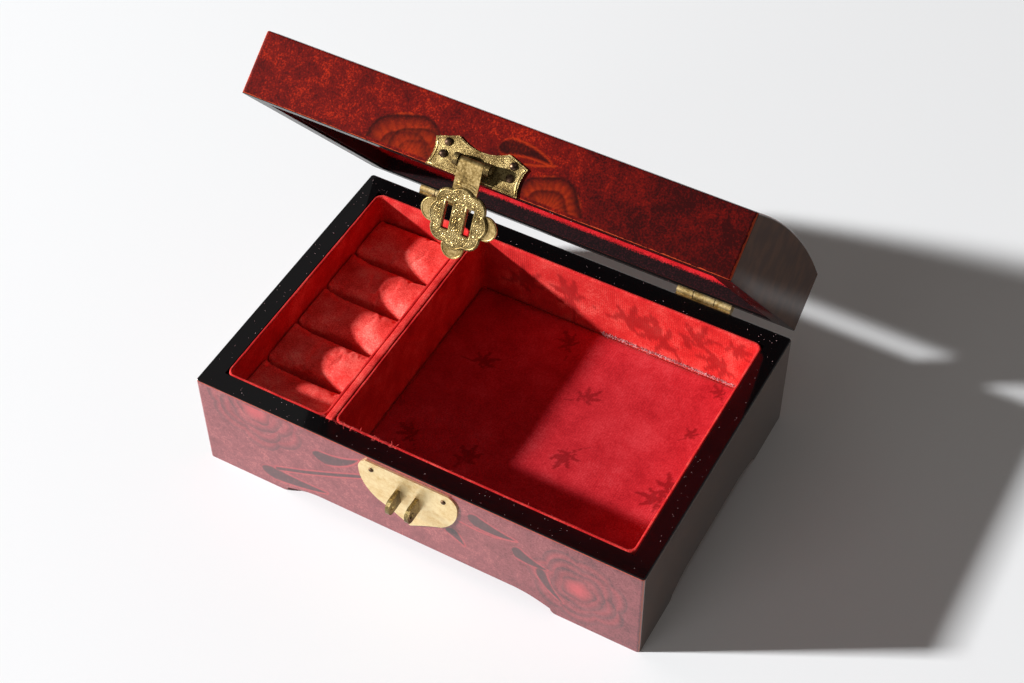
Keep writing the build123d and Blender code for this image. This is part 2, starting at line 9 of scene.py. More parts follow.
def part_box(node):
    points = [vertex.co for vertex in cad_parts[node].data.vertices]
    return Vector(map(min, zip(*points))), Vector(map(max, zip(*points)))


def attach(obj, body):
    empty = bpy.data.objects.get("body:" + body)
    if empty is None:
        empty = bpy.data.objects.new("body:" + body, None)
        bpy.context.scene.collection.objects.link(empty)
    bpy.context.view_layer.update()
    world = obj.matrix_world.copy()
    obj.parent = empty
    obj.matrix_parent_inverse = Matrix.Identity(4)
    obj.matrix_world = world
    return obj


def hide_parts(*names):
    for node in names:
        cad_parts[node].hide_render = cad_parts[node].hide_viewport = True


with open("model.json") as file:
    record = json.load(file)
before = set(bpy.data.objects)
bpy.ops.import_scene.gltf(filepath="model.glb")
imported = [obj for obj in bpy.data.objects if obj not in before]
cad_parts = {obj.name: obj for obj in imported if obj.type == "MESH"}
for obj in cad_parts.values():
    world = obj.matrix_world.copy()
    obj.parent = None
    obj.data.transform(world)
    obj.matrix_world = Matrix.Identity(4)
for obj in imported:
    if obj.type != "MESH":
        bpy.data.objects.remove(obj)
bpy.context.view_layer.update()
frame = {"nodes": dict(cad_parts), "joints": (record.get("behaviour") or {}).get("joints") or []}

mm = 0.001


# Case boards: front, back, two ends and the bottom, in poplar under many coats of lacquer.
# The long sides are mottled red, the ends brown-black and the rim gloss black, and a fine
# orange line shows where the coats are rubbed through along an outer edge.
def linear(hex_colour):
    """An sRGB hex colour as the linear colour that a shader takes."""
    parts = [int(hex_colour[i:i + 2], 16) / 255 for i in (0, 2, 4)]
    return tuple(c / 12.92 if c <= 0.04045 else ((c + 0.055) / 1.055) ** 2.4 for c in parts) + (1,)


def add(tree, kind, inputs=None, stops=None, **settings):
    """Adds a node with its settings, its values or links, and a ramp's stops."""
    made = tree.nodes.new(kind)
    for name, value in settings.items():
        setattr(made, name, value)
    for key, value in (inputs or {}).items():
        if isinstance(value, bpy.types.NodeSocket):
            tree.links.new(value, made.inputs[key])
        else:
            made.inputs[key].default_value = value
    if stops:
        ramp = made.color_ramp
        while len(ramp.elements) < len(stops):
            ramp.elements.new(1)
        for element, (place, colour) in zip(ramp.elements, stops):
            element.position = place
            element.color = linear(colour)
    return made


def finish(name, **values):
    """A new material: its tree, its shader with uniform values, and object coordinates."""
    material = bpy.data.materials.new(name)
    material.use_nodes = True
    tree = material.node_tree
    shader = tree.nodes["Principled BSDF"]
    for key, value in values.items():
        shader.inputs[key.replace("_", " ")].default_value = value
    return material, tree, shader, add(tree, "ShaderNodeTexCoord").outputs["Object"]


def maths(tree, operation, *values):
    """A sum, a product or a test of numbers and sockets."""
    return add(tree, "ShaderNodeMath", dict(enumerate(values)), operation=operation).outputs[0]


def between(tree, share, first, second):
    """A number between two others, by a share."""
    return add(tree, "ShaderNodeMix", {0: share, 2: first, 3: second}).outputs[0]


def blend(tree, share, under, over):
    """A colour laid over another, by a share."""
    return add(tree, "ShaderNodeMix", {"Factor": share, 6: under, 7: over}, data_type="RGBA").outputs[2]


def cloudy(tree, place, scale, detail, roughness=0.5, distortion=0.0):
    """Noise from 0 to 1, with clouds 1 / scale metres wide."""
    return add(tree, "ShaderNodeTexNoise", {"Vector": place, "Scale": scale, "Detail": detail,
                                            "Roughness": roughness, "Distortion": distortion}).outputs["Fac"]


def shades(tree, share, *stops):
    """A colour from a ramp."""
    return add(tree, "ShaderNodeValToRGB", {"Fac": share}, stops=stops).outputs["Color"]


def emboss(tree, shader, height, strength, distance, socket="Normal"):
    """Lets a pattern stand up from the surface or from its coat."""
    bump = add(tree, "ShaderNodeBump", {"Height": height, "Strength": strength, "Distance": distance})
    tree.links.new(bump.outputs[0], shader.inputs[socket])


def dress(material, *names):
    """Gives CAD pieces a finish."""
    for name in names:
        slots = frame["nodes"][name].data.materials
        slots.clear()
        slots.append(material)


front_low, front_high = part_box("base_front_board")
back_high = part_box("base_back_board")[1]
case_middle_y = (front_low.y + back_high.y) / 2
half_width = front_high.x
half_depth = (back_high.y - front_low.y) / 2
rim_z = front_high.z
board = 8.5 * mm


def mottling(tree, place, spread, winding_share, right_darkening, dark, deep, warm, bright):
    """Burl-like lacquer: clouds 9 mm wide, winding veins 5 mm apart and specks under 1 mm. A wide
    spread of its shades makes it calm, and it grows darker towards the right end."""
    clouds = cloudy(tree, place, 110, 5, 0.6, 0.8)
    away = maths(tree, "ABSOLUTE", maths(tree, "SUBTRACT", cloudy(tree, place, 190, 3, 0.6, 1.1), 0.5))
    veins = add(tree, "ShaderNodeMapRange", {"Value": away, 1: 0.0, 2: 0.11, 3: 0.85, 4: 0.3},
                interpolation_type="SMOOTHSTEP").outputs[0]
    coarse = between(tree, winding_share, clouds, veins)
    mixed = between(tree, 0.5, coarse, cloudy(tree, place, 1300, 3, 0.65))
    # Darker towards the right end, from 10 mm to 80 mm right of the middle.
    across = add(tree, "ShaderNodeSeparateXYZ", {"Vector": place}).outputs["X"]
    darker_rightwards = add(tree, "ShaderNodeMapRange", {
        "Value": across, 1: 10 * mm, 2: 80 * mm, 3: 0.0, 4: right_darkening},
        interpolation_type="SMOOTHSTEP").outputs[0]
    middle = 0.49
    return shades(tree, maths(tree, "SUBTRACT", mixed, darker_rightwards), (middle - spread, dark),
                  (middle - spread / 3, deep), (middle + spread / 3, warm), (middle + spread, bright))


def upright(tree, place, turn):
    """Coordinates of a box half's own upright frame, from those of the whole object."""
    return add(tree, "ShaderNodeMapping", {
        "Vector": place, "Location": turn.to_translation(), "Rotation": turn.to_euler()},
        vector_type="TEXTURE").outputs["Vector"]


def coated(name, coat, coat_ior):
    """A soft-lit ground under clear, polished coats."""
    return finish(name, Roughness=0.5, IOR=1.5, Specular_IOR_Level=0.04, Coat_Weight=coat,
                  Coat_Roughness=0.07, Coat_IOR=coat_ior)


def lacquer(name, turn, rim_height, colours, coat, coat_ior):
    """Lacquer of a box half, with its black rim, its brown ends and its rubbed edges."""
    material, tree, shader, place = coated(name, coat, coat_ior)
    own = upright(tree, place, turn)
    x, y, z = add(tree, "ShaderNodeSeparateXYZ", {"Vector": own}).outputs
    reach_x, reach_y = maths(tree, "ABSOLUTE", x), maths(tree, "ABSOLUTE", y)
    depth = maths(tree, "ABSOLUTE", maths(tree, "SUBTRACT", z, rim_height))
    rub = maths(tree, "MULTIPLY", cloudy(tree, place, 700, 2), 0.9 * mm)
    rubbed_corner = maths(tree, "GREATER_THAN", maths(tree, "ADD", reach_x, rub), half_width - 0.25 * mm)
    rubbed_rim = maths(tree, "LESS_THAN", maths(tree, "ADD", depth, rub), 0.9 * mm)
    end = maths(tree, "GREATER_THAN", reach_x, half_width - 0.2 * mm)
    rim = maths(tree, "LESS_THAN", depth, 0.25 * mm)
    inner = maths(tree, "MULTIPLY", maths(tree, "LESS_THAN", reach_x, half_width - 1.3 * mm),
                  maths(tree, "LESS_THAN", reach_y, half_depth - 1.3 * mm))
    inner = maths(tree, "MULTIPLY", inner, maths(tree, "LESS_THAN", depth, 22 * mm))
    brown = shades(tree, cloudy(tree, own, 120, 6), (0.36, "3c2215"), (0.5, "442818"), (0.64, "4e2f1e"))
    orange, black = linear("a83e20"), linear("070506")
    colour = mottling(tree, own, *colours)
    for where, over in ((rubbed_corner, orange), (rubbed_rim, orange), (end, brown), (rim, black),
                        (inner, black)):
        colour = blend(tree, where, colour, over)
    tree.links.new(colour, shader.inputs["Base Color"])
    emboss(tree, shader, cloudy(tree, place, 60, 2), 0.06, 0.4 * mm, "Coat Normal")
    return material


case_turn = Matrix.Translation((0, case_middle_y, 0))
case_red = (0.18, 0.3, 0.09, "5a2226", "783438", "864044", "ac5a58")
dress(lacquer("mottled red lacquer of the case", case_turn, rim_z, case_red, 1.0, 1.65),
      "base_front_board", "base_back_board", "base_left_board", "base_right_board", "base_bottom_panel")


# Painted flowers of the case front: roses, pointed leaves and stems laid into the lacquer
# with a soft brush, dark at the outline and bright within, under the same clear coats.
def new_piece(name, body, material, make, turn=None, smooth=True):
    """Makes a mesh with a maker that fills a bmesh, puts it in place and lets it ride."""
    bm = bmesh.new()
    make(bm)
    bmesh.ops.remove_doubles(bm, verts=bm.verts, dist=0.001 * mm)
    bmesh.ops.recalc_face_normals(bm, faces=bm.faces)
    if turn is not None:
        bm.transform(turn)
    for face in bm.faces:
        face.smooth = smooth
    mesh = bpy.data.meshes.new(name)
    bm.to_mesh(mesh)
    bm.free()
    mesh.materials.append(material)
    piece = bpy.data.objects.new(name, mesh)
    bpy.context.scene.collection.objects.link(piece)
    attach(piece, body)
    return piece


def bell(value, width):
    """1 at zero, and falling softly to nothing a few widths away."""
    return exp(-(value / width) ** 2)


def rose(x, z, cx, cz, size, turn):
    """Darkness and light of a rose seen from above: rings of round petals about a bright heart."""
    r, a = hypot(x - cx, z - cz), atan2(z - cz, x - cx) + turn
    dark = light = 0
    for k, (share, petals) in enumerate(((0.34, 3), (0.55, 4), (0.77, 5), (1.0, 7))):
        wave = abs(cos(petals * (a + 0.7 * k) / 2))
        edge = size * share * (0.86 + 0.14 * wave ** 0.6) + 0.5 * sin(5 * a + k)
        inside = edge - r
        if inside >= 0:
            dark = max(dark, (0.9 - 0.06 * k) * exp(-inside / (0.055 * size)))
            light = max(light, 0.3 * bell(inside - 0.13 * size, 0.05 * size))
        else:
            dark = max(dark, (0.9 - 0.06 * k) * bell(inside, 0.3))
    light = max(light * (1 - dark), bell(r, 0.27 * size))
    return dark * (0.75 + 0.25 * sin(3 * a + 1)), light


def leaf(x, z, x0, z0, x1, z1, wide, bend):
    """A pointed leaf from its round end to its tip, dark, with a thin bright outline."""
    length = hypot(x1 - x0, z1 - z0)
    ux, uz = (x1 - x0) / length, (z1 - z0) / length
    along = ((x - x0) * ux + (z - z0) * uz) / length
    if not -0.3 < along < 1.35:
        return 0, 0
    across = -(x - x0) * uz + (z - z0) * ux - bend * 4 * along * (1 - along)
    t = min(max(along, 0), 1)
    half = wide / 2 * min(1, sqrt(t / 0.16)) * (1 - t) ** 0.8
    outside = abs(across) - half if 0 <= along <= 1 else hypot(abs(across), length * (along - t))
    dark = min(max(0.5 - outside / 0.6, 0), 1)
    tail = min(max((along + 0.1) / 0.4, 0), 1) * min(max((1.3 - along) / 0.3, 0), 1)
    return dark, bell(outside - 0.55, 0.34) * tail


def stem(x, z, points, dark_half):
    """A thin stem along straight runs, with a bright line on each side."""
    nearest = 99
    for (xa, za), (xb, zb) in zip(points, points[1:]):
        run = (xb - xa) ** 2 + (zb - za) ** 2
        t = min(max(((x - xa) * (xb - xa) + (z - za) * (zb - za)) / run, 0), 1)
        nearest = min(nearest, hypot(x - xa - t * (xb - xa), z - za - t * (zb - za)))
    dark = min(max(0.5 - (nearest - dark_half) / 0.4, 0), 1) if dark_half else 0
    return dark, bell(nearest - dark_half - 0.3 * (dark_half > 0), 0.36)


def case_flowers(x, z):
    """The case front's own layout: a rose and two leaves at each side of the clasp."""
    return (
        rose(x, z, 73.0, 24.0, 21.5, 0.3), rose(x, z, -72.0, 46.5, 23.0, 1.2),
        leaf(x, z, 25.0, 40.0, 46.0, 37.6, 8.0, -1.2), leaf(x, z, 44.5, 32.0, 59.5, 27.8, 7.5, -1.4),
        leaf(x, z, 56.0, 27.0, 66.5, 10.5, 5.5, -1.6), leaf(x, z, -45.5, 34.6, -24.0, 43.8, 8.0, -2.4),
        leaf(x, z, -73.0, 8.6, -41.0, 11.6, 8.6, -1.0), leaf(x, z, 15.5, 26.0, 23.0, 19.0, 6.0, 0.6),
        stem(x, z, ((21, 34), (29, 33.2), (37, 33.9), (47, 37.8)), 0),
        stem(x, z, ((-65, 13), (-50, 19.8), (-36, 27), (-24, 33.6)), 0.9))


def quads(bm, grid):
    """Fills a grid of points with faces."""
    for below, above in zip(grid, grid[1:]):
        for i in range(len(below) - 1):
            bm.faces.new((below[i], below[i + 1], above[i + 1], above[i]))


def border(grid):
    """The points round the edge of a grid."""
    return grid[0] + [line[-1] for line in grid[1:]] + grid[-1][-2::-1] + [line[0] for line in grid[-2:0:-1]]


def painted_sheet(strokes, low, high, step):
    """Maker of a sheet of paint 0.03 mm proud of a front, with its strokes as attributes."""
    left, right = -half_width / mm + 2.5, half_width / mm - 2.5
    cols, rows = int((right - left) / step), int((high(0) - low(0)) / step)

    def make(bm):
        layers = [bm.verts.layers.float.new(name) for name in ("dark", "light")]
        front = []
        for j in range(rows + 1):
            line = []
            for i in range(cols + 1):
                x = left + (right - left) * i / cols
                z = low(x) + (high(x) - low(x)) * j / rows
                vert = bm.verts.new((x * mm, -half_depth - 0.03 * mm, z * mm))
                fade = min(1, 2 * min(z - low(x), high(x) - z) + 0.02, x - left, right - x)
                grain = 1 + 0.35 * noise.noise(Vector((x * 0.9, z * 0.9, 4)))
                for layer, values in zip(layers, zip(*strokes(x, z))):
                    vert[layer] = min(1, max(values) * grain) * fade
                line.append(vert)
            front.append(line)
        quads(bm, front)
        edge = border(front)
        behind = [bm.verts.new(v.co + Vector((0, 0.06 * mm, 0))) for v in edge]
        for k in range(len(edge)):
            bm.faces.new((edge[k - 1], edge[k], behind[k], behind[k - 1]))
        bm.faces.new(behind)

    return make


def paint(name, turn, ground, shade, glow, coat, coat_ior):
    """Translucent brush paint: the ground's own mottling, darkened or brightened by strokes."""
    material, tree, shader, place = coated(name, coat, coat_ior)
    colour = mottling(tree, upright(tree, place, turn), *ground)
    for attribute, tint, strength in (("light", glow, 0.75), ("dark", shade, 0.8)):
        stroke = add(tree, "ShaderNodeAttribute", attribute_name=attribute).outputs["Fac"]
        colour = blend(tree, maths(tree, "MULTIPLY", stroke, strength), colour, linear(tint))
    tree.links.new(colour, shader.inputs["Base Color"])
    return material


def apron(x):
    """Lower edge of the paint, above the curve between the feet."""
    reach, crown, flat_end, foot = abs(x), 6.9, 46, 63.6
    if reach < flat_end:
        return crown
    if reach < foot:
        return crown - 4.0 * (reach - flat_end) / (foot - flat_end)
    return max(0.8, crown - 4.0 - (reach - foot))


case_paint = paint("painted rose lacquer of the case", case_turn, case_red, "352a2b", "c04448", 1.0, 1.65)
new_piece("painted_flowers_case", "base", case_paint,
          painted_sheet(case_flowers, apron, lambda x: rim_z / mm - 1.3, 0.5),
          turn=case_turn, smooth=False)


# Cloth linings of the case: card bent round the walls of each compartment under red cloth,
# with its upper edge turned over, and the divider between them under a flat cloth strip.
def cloth(name, dark, middle, light, figure=None, nap_size=0.6, edge=None, sheen=0.5):
    """Brushed red cloth: colour clouds, a nap of the given size in mm, and a grazing sheen. A
    figure is woven in where the piece says so, and near an edge the cloth is painted near-black
    with a fuzzy border, as painted shade."""
    material, tree, shader, place = finish(name, Roughness=0.8, Specular_IOR_Level=0.1,
                                           Sheen_Weight=sheen, Sheen_Roughness=0.4,
                                           Sheen_Tint=linear("ff7a6e"))
    nap = height = cloudy(tree, place, 1000 / nap_size, 3, 0.75)
    mixed = between(tree, 0.5, cloudy(tree, place, 80, 5, 0.6), nap)
    colour = shades(tree, mixed, (0.36, dark), (0.5, middle), (0.64, light))
    if figure:
        woven = add(tree, "ShaderNodeAttribute", attribute_name="woven").outputs["Fac"]
        waves = [add(tree, "ShaderNodeTexWave", {"Vector": place, "Scale": 330, "Distortion": 0.3},
                     bands_direction=way).outputs["Fac"] for way in "XYZ"]
        weave = maths(tree, "ADD", maths(tree, "ADD", waves[0], waves[1]), waves[2])
        colour = blend(tree, maths(tree, "MULTIPLY", weave, 0.12), colour, linear(dark))
        colour = blend(tree, maths(tree, "MULTIPLY", woven, 0.7), colour, linear(figure))
        height = between(tree, 0.35, nap, weave)
    # Painted shade: within about 8 mm of the given rim the cloth turns to near-black fuzz, standing for the
    # shadow inside the lid.
    if edge:
        depth = add(tree, "ShaderNodeSeparateXYZ", {"Vector": upright(tree, place, edge)}).outputs["Z"]
        depth = maths(tree, "ADD", depth, maths(tree, "MULTIPLY", nap, 3.0 * mm))
        deep = add(tree, "ShaderNodeMapRange", {"Value": depth, 1: 7.5 * mm, 2: 8.4 * mm}).outputs[0]
        colour = blend(tree, deep, shades(tree, nap, (0.5, "0a0204"), (0.72, "40141a")), colour)
    tree.links.new(colour, shader.inputs["Base Color"])
    emboss(tree, shader, height, 0.45, 0.2 * mm)
    return material


def sprig(u, v, cu, cv, size, turn):
    """A woven sprig: saw-edged leaves in a fan on a bent stalk, 1 inside and 0 outside."""
    u, v = floor(u / 0.5) * 0.5 - cu, floor(v / 0.5) * 0.5 - cv
    if hypot(u, v) > 1.6 * size:
        return 0
    x, y = (u * cos(turn) + v * sin(turn)) / size, (v * cos(turn) - u * sin(turn)) / size
    for angle, reach, wide, base in ((0, 1.0, 0.34, 0), (0.75, 0.8, 0.28, 0), (-0.7, 0.85, 0.28, 0),
                                     (1.5, 0.6, 0.22, -0.1), (-1.45, 0.55, 0.24, -0.1),
                                     (0.4, 0.5, 0.2, -0.55)):
        along = ((x - base) * cos(angle) + y * sin(angle)) / reach
        aside = y * cos(angle) - (x - base) * sin(angle) - 0.12 * along * along
        if 0 < along < 1:
            teeth = 1 - 0.55 * ((along * 5) % 1)
            if abs(aside) < wide / 2 * sin(pi * along ** 0.8) ** 0.7 * teeth + 0.02:
                return 1.0
    if -1.1 < x < 0 and abs(y - 0.35 * x * x) < 0.035:
        return 0.9
    return 0


def rounded_rectangle(left, right, front, back, radius, step):
    """Points round a rectangle with rounded corners, each with its outward direction."""
    points = []
    corners = ((right - radius, back - radius, 0), (left + radius, back - radius, 90),
               (left + radius, front + radius, 180), (right - radius, front + radius, 270))
    for i, (cx, cy, start) in enumerate(corners):
        for k in range(9):
            a = radians(start + 90 * k / 8)
            points.append((cx + radius * cos(a), cy + radius * sin(a), cos(a), sin(a)))
        nx, ny = corners[(i + 1) % 4][:2]
        a = radians(start + 90)
        x0, y0 = points[-1][:2]
        x1, y1 = nx + radius * cos(a), ny + radius * sin(a)
        count = max(2, int(hypot(x1 - x0, y1 - y0) / step))
        points += [(x0 + (x1 - x0) * k / count, y0 + (y1 - y0) * k / count, cos(a), sin(a))
                   for k in range(1, count)]
    return points


def loft(bm, rings, capped=False):
    """Joins rings of equal count with quads, round and round, or with both ends capped."""
    made = [[bm.verts.new(p) for p in ring] for ring in rings]
    pairs = list(zip(made, made[1:])) + ([] if capped else [(made[-1], made[0])])
    for a, b in pairs:
        for i in range(len(a)):
            bm.faces.new((a[i - 1], a[i], b[i], b[i - 1]))
    if capped:
        bm.faces.new(made[0])
        bm.faces.new(made[-1])
    return made


def wall_band(lo, hi, top, thickness, corner, step, sprigs=()):
    """Maker of a lining with a rounded upper edge, and woven sprigs on its long walls."""
    def make(bm):
        woven = bm.verts.layers.float.new("woven")
        lip = thickness * 0.5
        heights = [k / 22 for k in range(23)]
        rings, spots = [], []
        for x, y, nx, ny in rounded_rectangle(lo.x, hi.x, lo.y, hi.y, corner, step):
            crest = top + noise.noise(Vector((x * 230, y * 230, 3))) * 0.1 * mm
            section = [(0, lo.z)] + [(thickness, lo.z + (crest - lip - lo.z) * t) for t in heights]
            section += [(lip + lip * cos(pi * k / 8), crest - lip + lip * sin(pi * k / 8))
                        for k in range(1, 9)]
            ring, spot = [], []
            for depth, z in section:
                loose = noise.noise(Vector((x * 80, y * 80, z * 50))) * 0.22 * mm * (depth > lip)
                inward = max(depth + loose, 0) if depth else 0
                ring.append((x - nx * inward, y - ny * inward, z))
                spot.append((x / mm, z / mm) if depth > lip else None)
            rings.append(ring)
            spots.append((nx, spot))
        for made, (nx, spot) in zip(loft(bm, rings), spots):
            for vert, s in zip(made, spot):
                if s and abs(nx) < 0.3:
                    vert[woven] = max((sprig(*s, *one) for one in sprigs), default=0)

    return make


room_low, room_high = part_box("main_wall_lining")
ring_low, ring_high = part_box("ring_wall_lining")
wall_cloth = cloth("brushed red cloth of the walls", "a81216", "d22a2a", "f2685e", figure="8c0a10")
roll_cloth = cloth("brushed red cloth of the rolls", "c4241e", "f04e48", "ff8a7c")
wall_sprigs = ((31, 33, 14, 0.4), (47, 30, 16, 2.6), (62, 36, 13, 1.1), (74, 27, 12, 2.9),
               (80, 40, 9, 0.2), (4, 33, 14, 2.0), (-20, 31, 13, 0.6))
lining_top = rim_z - 0.05 * mm
for name, low, high, sprigs in (("main", room_low, room_high, wall_sprigs),
                                ("ring", ring_low, ring_high, ())):
    band = new_piece(f"{name}_compartment_lining", "base", wall_cloth,
                     wall_band(low, high, lining_top, 1.6 * mm, 4 * mm, 0.9 * mm, sprigs))
    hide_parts(f"{name}_wall_lining")


def divider_maker(bm):
    """A card under cloth, with a flat strip on top that covers the edges of both linings."""
    lo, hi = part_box("divider_board")
    middle = (lo.x + hi.x) / 2
    body = (hi.x - lo.x) / 2 - 0.05 * mm
    strip, edge = 1.5 * mm, 0.22 * mm
    count = 130
    rings = []
    for i in range(count + 1):
        y = lo.y + 0.05 * mm + (hi.y - lo.y - 0.1 * mm) * i / count
        wave = noise.noise(Vector((7, y * 200, 1))) * 0.12 * mm
        top = rim_z + 0.2 * mm + wave
        half = strip + noise.noise(Vector((2, y * 150, 5))) * 0.08 * mm
        ring = [(body, lo.z), (body, top - 2.4 * mm), (half, top - 1.9 * mm)]
        ring += [(half - edge + edge * cos(pi / 2 * k / 4), top - edge + edge * sin(pi / 2 * k / 4))
                 for k in range(5)]
        ring += [(half * t, top + 0.12 * mm * (1 - t * t)) for t in (0.6, 0.2)]
        outline = ring + [(-x, z) for x, z in reversed(ring)]
        rings.append([(middle + x, y, z) for x, z in outline])
    loft(bm, rings, capped=True)


twill = cloth("red twill of the divider", "c01c1c", "ee4440", "ff7468", figure="960a10")
divider = new_piece("padded_divider", "base", twill, divider_maker)
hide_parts("divider_board")


# Floor of the main compartment: a padded card under red damask, with leaf sprigs woven
# into it in a darker, duller thread.
pad_low, pad_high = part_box("main_floor_pad")
floor_sprigs = ((81, -5, 9, 1.9), (79, -12, 9, 3.0), (30, 21, 8, 0.9), (37, -9, 9, 4.4),
                (76, 24, 5, 1.3), (78, 50, 6, 2.4), (2, -30, 9, 1.4), (-18, 18, 8, 0.5),
                (-24, -30, 8, 2.6), (10, 44, 8, 2.2), (52, -46, 8, 0.6))


def cushion(bm, low, high, cols, rows, upper, lower, figures=()):
    """A closed sheet between two surfaces over a rectangle, with woven figures on top."""
    woven = bm.verts.layers.float.new("woven")
    top, under = [[[bm.verts.new(surface(low.x + (high.x - low.x) * i / cols,
                                         low.y + (high.y - low.y) * j / rows))
                    for i in range(cols + 1)] for j in range(rows + 1)] for surface in (upper, lower)]
    for line in top:
        for vert in line:
            x, y = vert.co.x / mm, (vert.co.y - case_middle_y) / mm
            vert[woven] = max((sprig(x, y, *one) for one in figures), default=0)
    quads(bm, top)
    quads(bm, under)
    above, below = border(top), border(under)
    for k in range(len(above)):
        bm.faces.new((above[k - 1], above[k], below[k], below[k - 1]))


def pad_top(x, y):
    """The pad's upper face, gently uneven and rounded down at its edge."""
    edge = min(x - pad_low.x, pad_high.x - x, y - pad_low.y, pad_high.y - y)
    wave = noise.noise(Vector((x * 45, y * 45, 2))) * 0.25 * mm * min(1, edge / (8 * mm))
    return x, y, pad_high.z - 0.2 * mm - 1.3 * mm * exp(-edge / (0.9 * mm)) + wave


damask = cloth("red damask of the floor", "a01420", "c02630", "d24048", figure="7a0610", nap_size=0.8)
floor_pad = new_piece(
    "damask_floor_pad", "base", damask,
    lambda bm: cushion(bm, pad_low, pad_high, 190, 170, pad_top, lambda x, y: (x, y, pad_low.z),
                       floor_sprigs))
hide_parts("main_floor_pad")


# Ring rolls: five stuffed rolls side by side, crowned along their length, with sides that
# draw in at the middle so that a ring slips between two of them.
def ring_roll_maker(number, lo, hi):
    """Maker of one roll; the sides that face a wall of the compartment stay straight."""
    half = (hi.y - lo.y) / 2 - 0.03 * mm
    middle = (lo.y + hi.y) / 2
    left, right = lo.x + 0.03 * mm, hi.x - 0.03 * mm
    height = hi.z - lo.z

    def make(bm):
        steps, arc = 60, 40
        rings = []
        for i in range(steps + 1):
            t = i / steps
            bulge = 1 - (2 * t - 1) ** 2
            pinch = exp(-min(t, 1 - t) * 26)
            x = left + (right - left) * t
            ring = [(-half + 2 * half * k / 6, 0, 0) for k in range(7)]
            for side in (1, -1):
                at_wall = (number == 5 and side == 1) or (number == 1 and side == -1)
                shoulder = height * (0.87 - (0.04 if at_wall else 0.26) * bulge)
                crest = height - height * 0.09 * (1 - bulge)
                wide = half - (0.1 if at_wall else 1.7) * mm * bulge - 0.2 * mm * pinch - 0.25 * mm
                flank = [(side * wide, shoulder * z, z) for z in (0.25, 0.5, 0.75)]
                crown = [(side * wide * max(cos(pi / 2 * k / arc), 0) ** 0.62,
                          shoulder + (crest - shoulder) * sin(pi / 2 * k / arc) ** 0.62, 1)
                         for k in range(arc + 1)]
                points = flank + crown
                ring += points if side == 1 else points[-2::-1]
            out = []
            for y, z, up in ring:
                fold = noise.noise(Vector((x * 120, y * 500 + number * 9, z * 150)))
                soft = noise.noise(Vector((x * 70 + number * 5, y * 70, z * 70)))
                lift = (0.35 * pinch * fold + 0.22 * soft) * mm * up
                out.append((x, middle + y * (1 - abs(lift) / half), lo.z + z + lift - 0.25 * mm * up))
            rings.append(out)
        loft(bm, rings, capped=True)

    return make


def stuff(piece, low, high, voxel, cap):
    """Fills a roll: its cover swells in a cloth simulation, glued at the ends and underneath, and
    cut a little too large, so that it puckers. It is worked out at twenty times its size."""
    times = 20
    enlarge = Matrix.Scale(times, 4) @ Matrix.Translation(-(low + high) / 2)
    piece.data.transform(enlarge)
    even = piece.modifiers.new("even mesh", "REMESH")
    even.mode = "VOXEL"
    even.voxel_size = voxel * times
    plain = bpy.data.meshes.new_from_object(piece.evaluated_get(bpy.context.evaluated_depsgraph_get()))
    piece.modifiers.clear()
    piece.data = plain
    start = [v.co.copy() for v in plain.vertices]
    size = (high - low) * times
    glued = piece.vertex_groups.new(name="glued")
    glued.add([v.index for v in plain.vertices
               if v.co.z < -0.3 * size.z or abs(v.co.x) > 0.5 * size.x - 1.5 * voxel * times], 1, "REPLACE")
    cover = piece.modifiers.new("stuffing", "CLOTH")
    cover.settings.use_pressure = True
    cover.settings.uniform_pressure_force = 4
    cover.settings.shrink_min = -0.04
    cover.settings.vertex_group_mass = "glued"
    cover.settings.effector_weights.gravity = 0
    for frame_number in range(1, 21):
        bpy.context.scene.frame_set(frame_number)
    swollen = piece.evaluated_get(bpy.context.evaluated_depsgraph_get()).to_mesh()
    moved = [v.co.copy() for v in swollen.vertices]
    piece.modifiers.clear()
    for vert, before, after in zip(plain.vertices, start, moved):
        move = after - before
        vert.co = before + move * min(1, cap * times / max(move.length, 1e-9))
    piece.vertex_groups.clear()
    bpy.context.scene.frame_set(1)
    finer = piece.modifiers.new("finer", "SUBSURF")
    finer.levels = finer.render_levels = 1
    piece.data = bpy.data.meshes.new_from_object(piece.evaluated_get(bpy.context.evaluated_depsgraph_get()))
    piece.modifiers.clear()
    piece.data.transform(enlarge.inverted())
    for face in piece.data.polygons:
        face.use_smooth = True


for number in range(1, 6):
    low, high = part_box(f"ring_roll_{number}")
    roll = new_piece(f"stuffed_ring_roll_{number}", "base", roll_cloth,
                     ring_roll_maker(number, low, high))
    stuff(roll, low, high, 0.8 * mm, 0.35 * mm)
    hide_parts(f"ring_roll_{number}")


# Hinges: two pressed brass butt hinges on brass pins. Each leaf is held by two countersunk
# screws with a slot, set out on points and turned to face their board.
def brass(name, dark, middle, light, grain, strength, depth, roughness):
    """Brass: a colour that varies with the tarnish, and pits of the given spacing in mm."""
    material, tree, shader, place = finish(name, Metallic=0.9, Roughness=roughness)
    speck = cloudy(tree, place, 900 / grain, 4, 0.7)
    mixed = between(tree, 0.5, cloudy(tree, place, 180, 6, 0.65), speck)
    colour = shades(tree, mixed, (0.36, dark), (0.47, middle), (0.58, light))
    tree.links.new(colour, shader.inputs["Base Color"])
    emboss(tree, shader, speck, strength, depth * mm)
    return material


def grown(name, body, mesh, tree, values):
    """Lets a node tree grow on a mesh, and keeps the result as a plain mesh that rides."""
    piece = bpy.data.objects.new(name, mesh)
    bpy.context.scene.collection.objects.link(piece)
    modifier = piece.modifiers.new(name, "NODES")
    modifier.node_group = tree
    for item in tree.interface.items_tree:
        if item.item_type == "SOCKET" and item.in_out == "INPUT" and item.name in values:
            modifier[item.identifier] = values[item.name]
    graph = bpy.context.evaluated_depsgraph_get()
    plain = bpy.data.meshes.new_from_object(piece.evaluated_get(graph))
    piece.modifiers.clear()
    piece.data = plain
    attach(piece, body)
    return piece


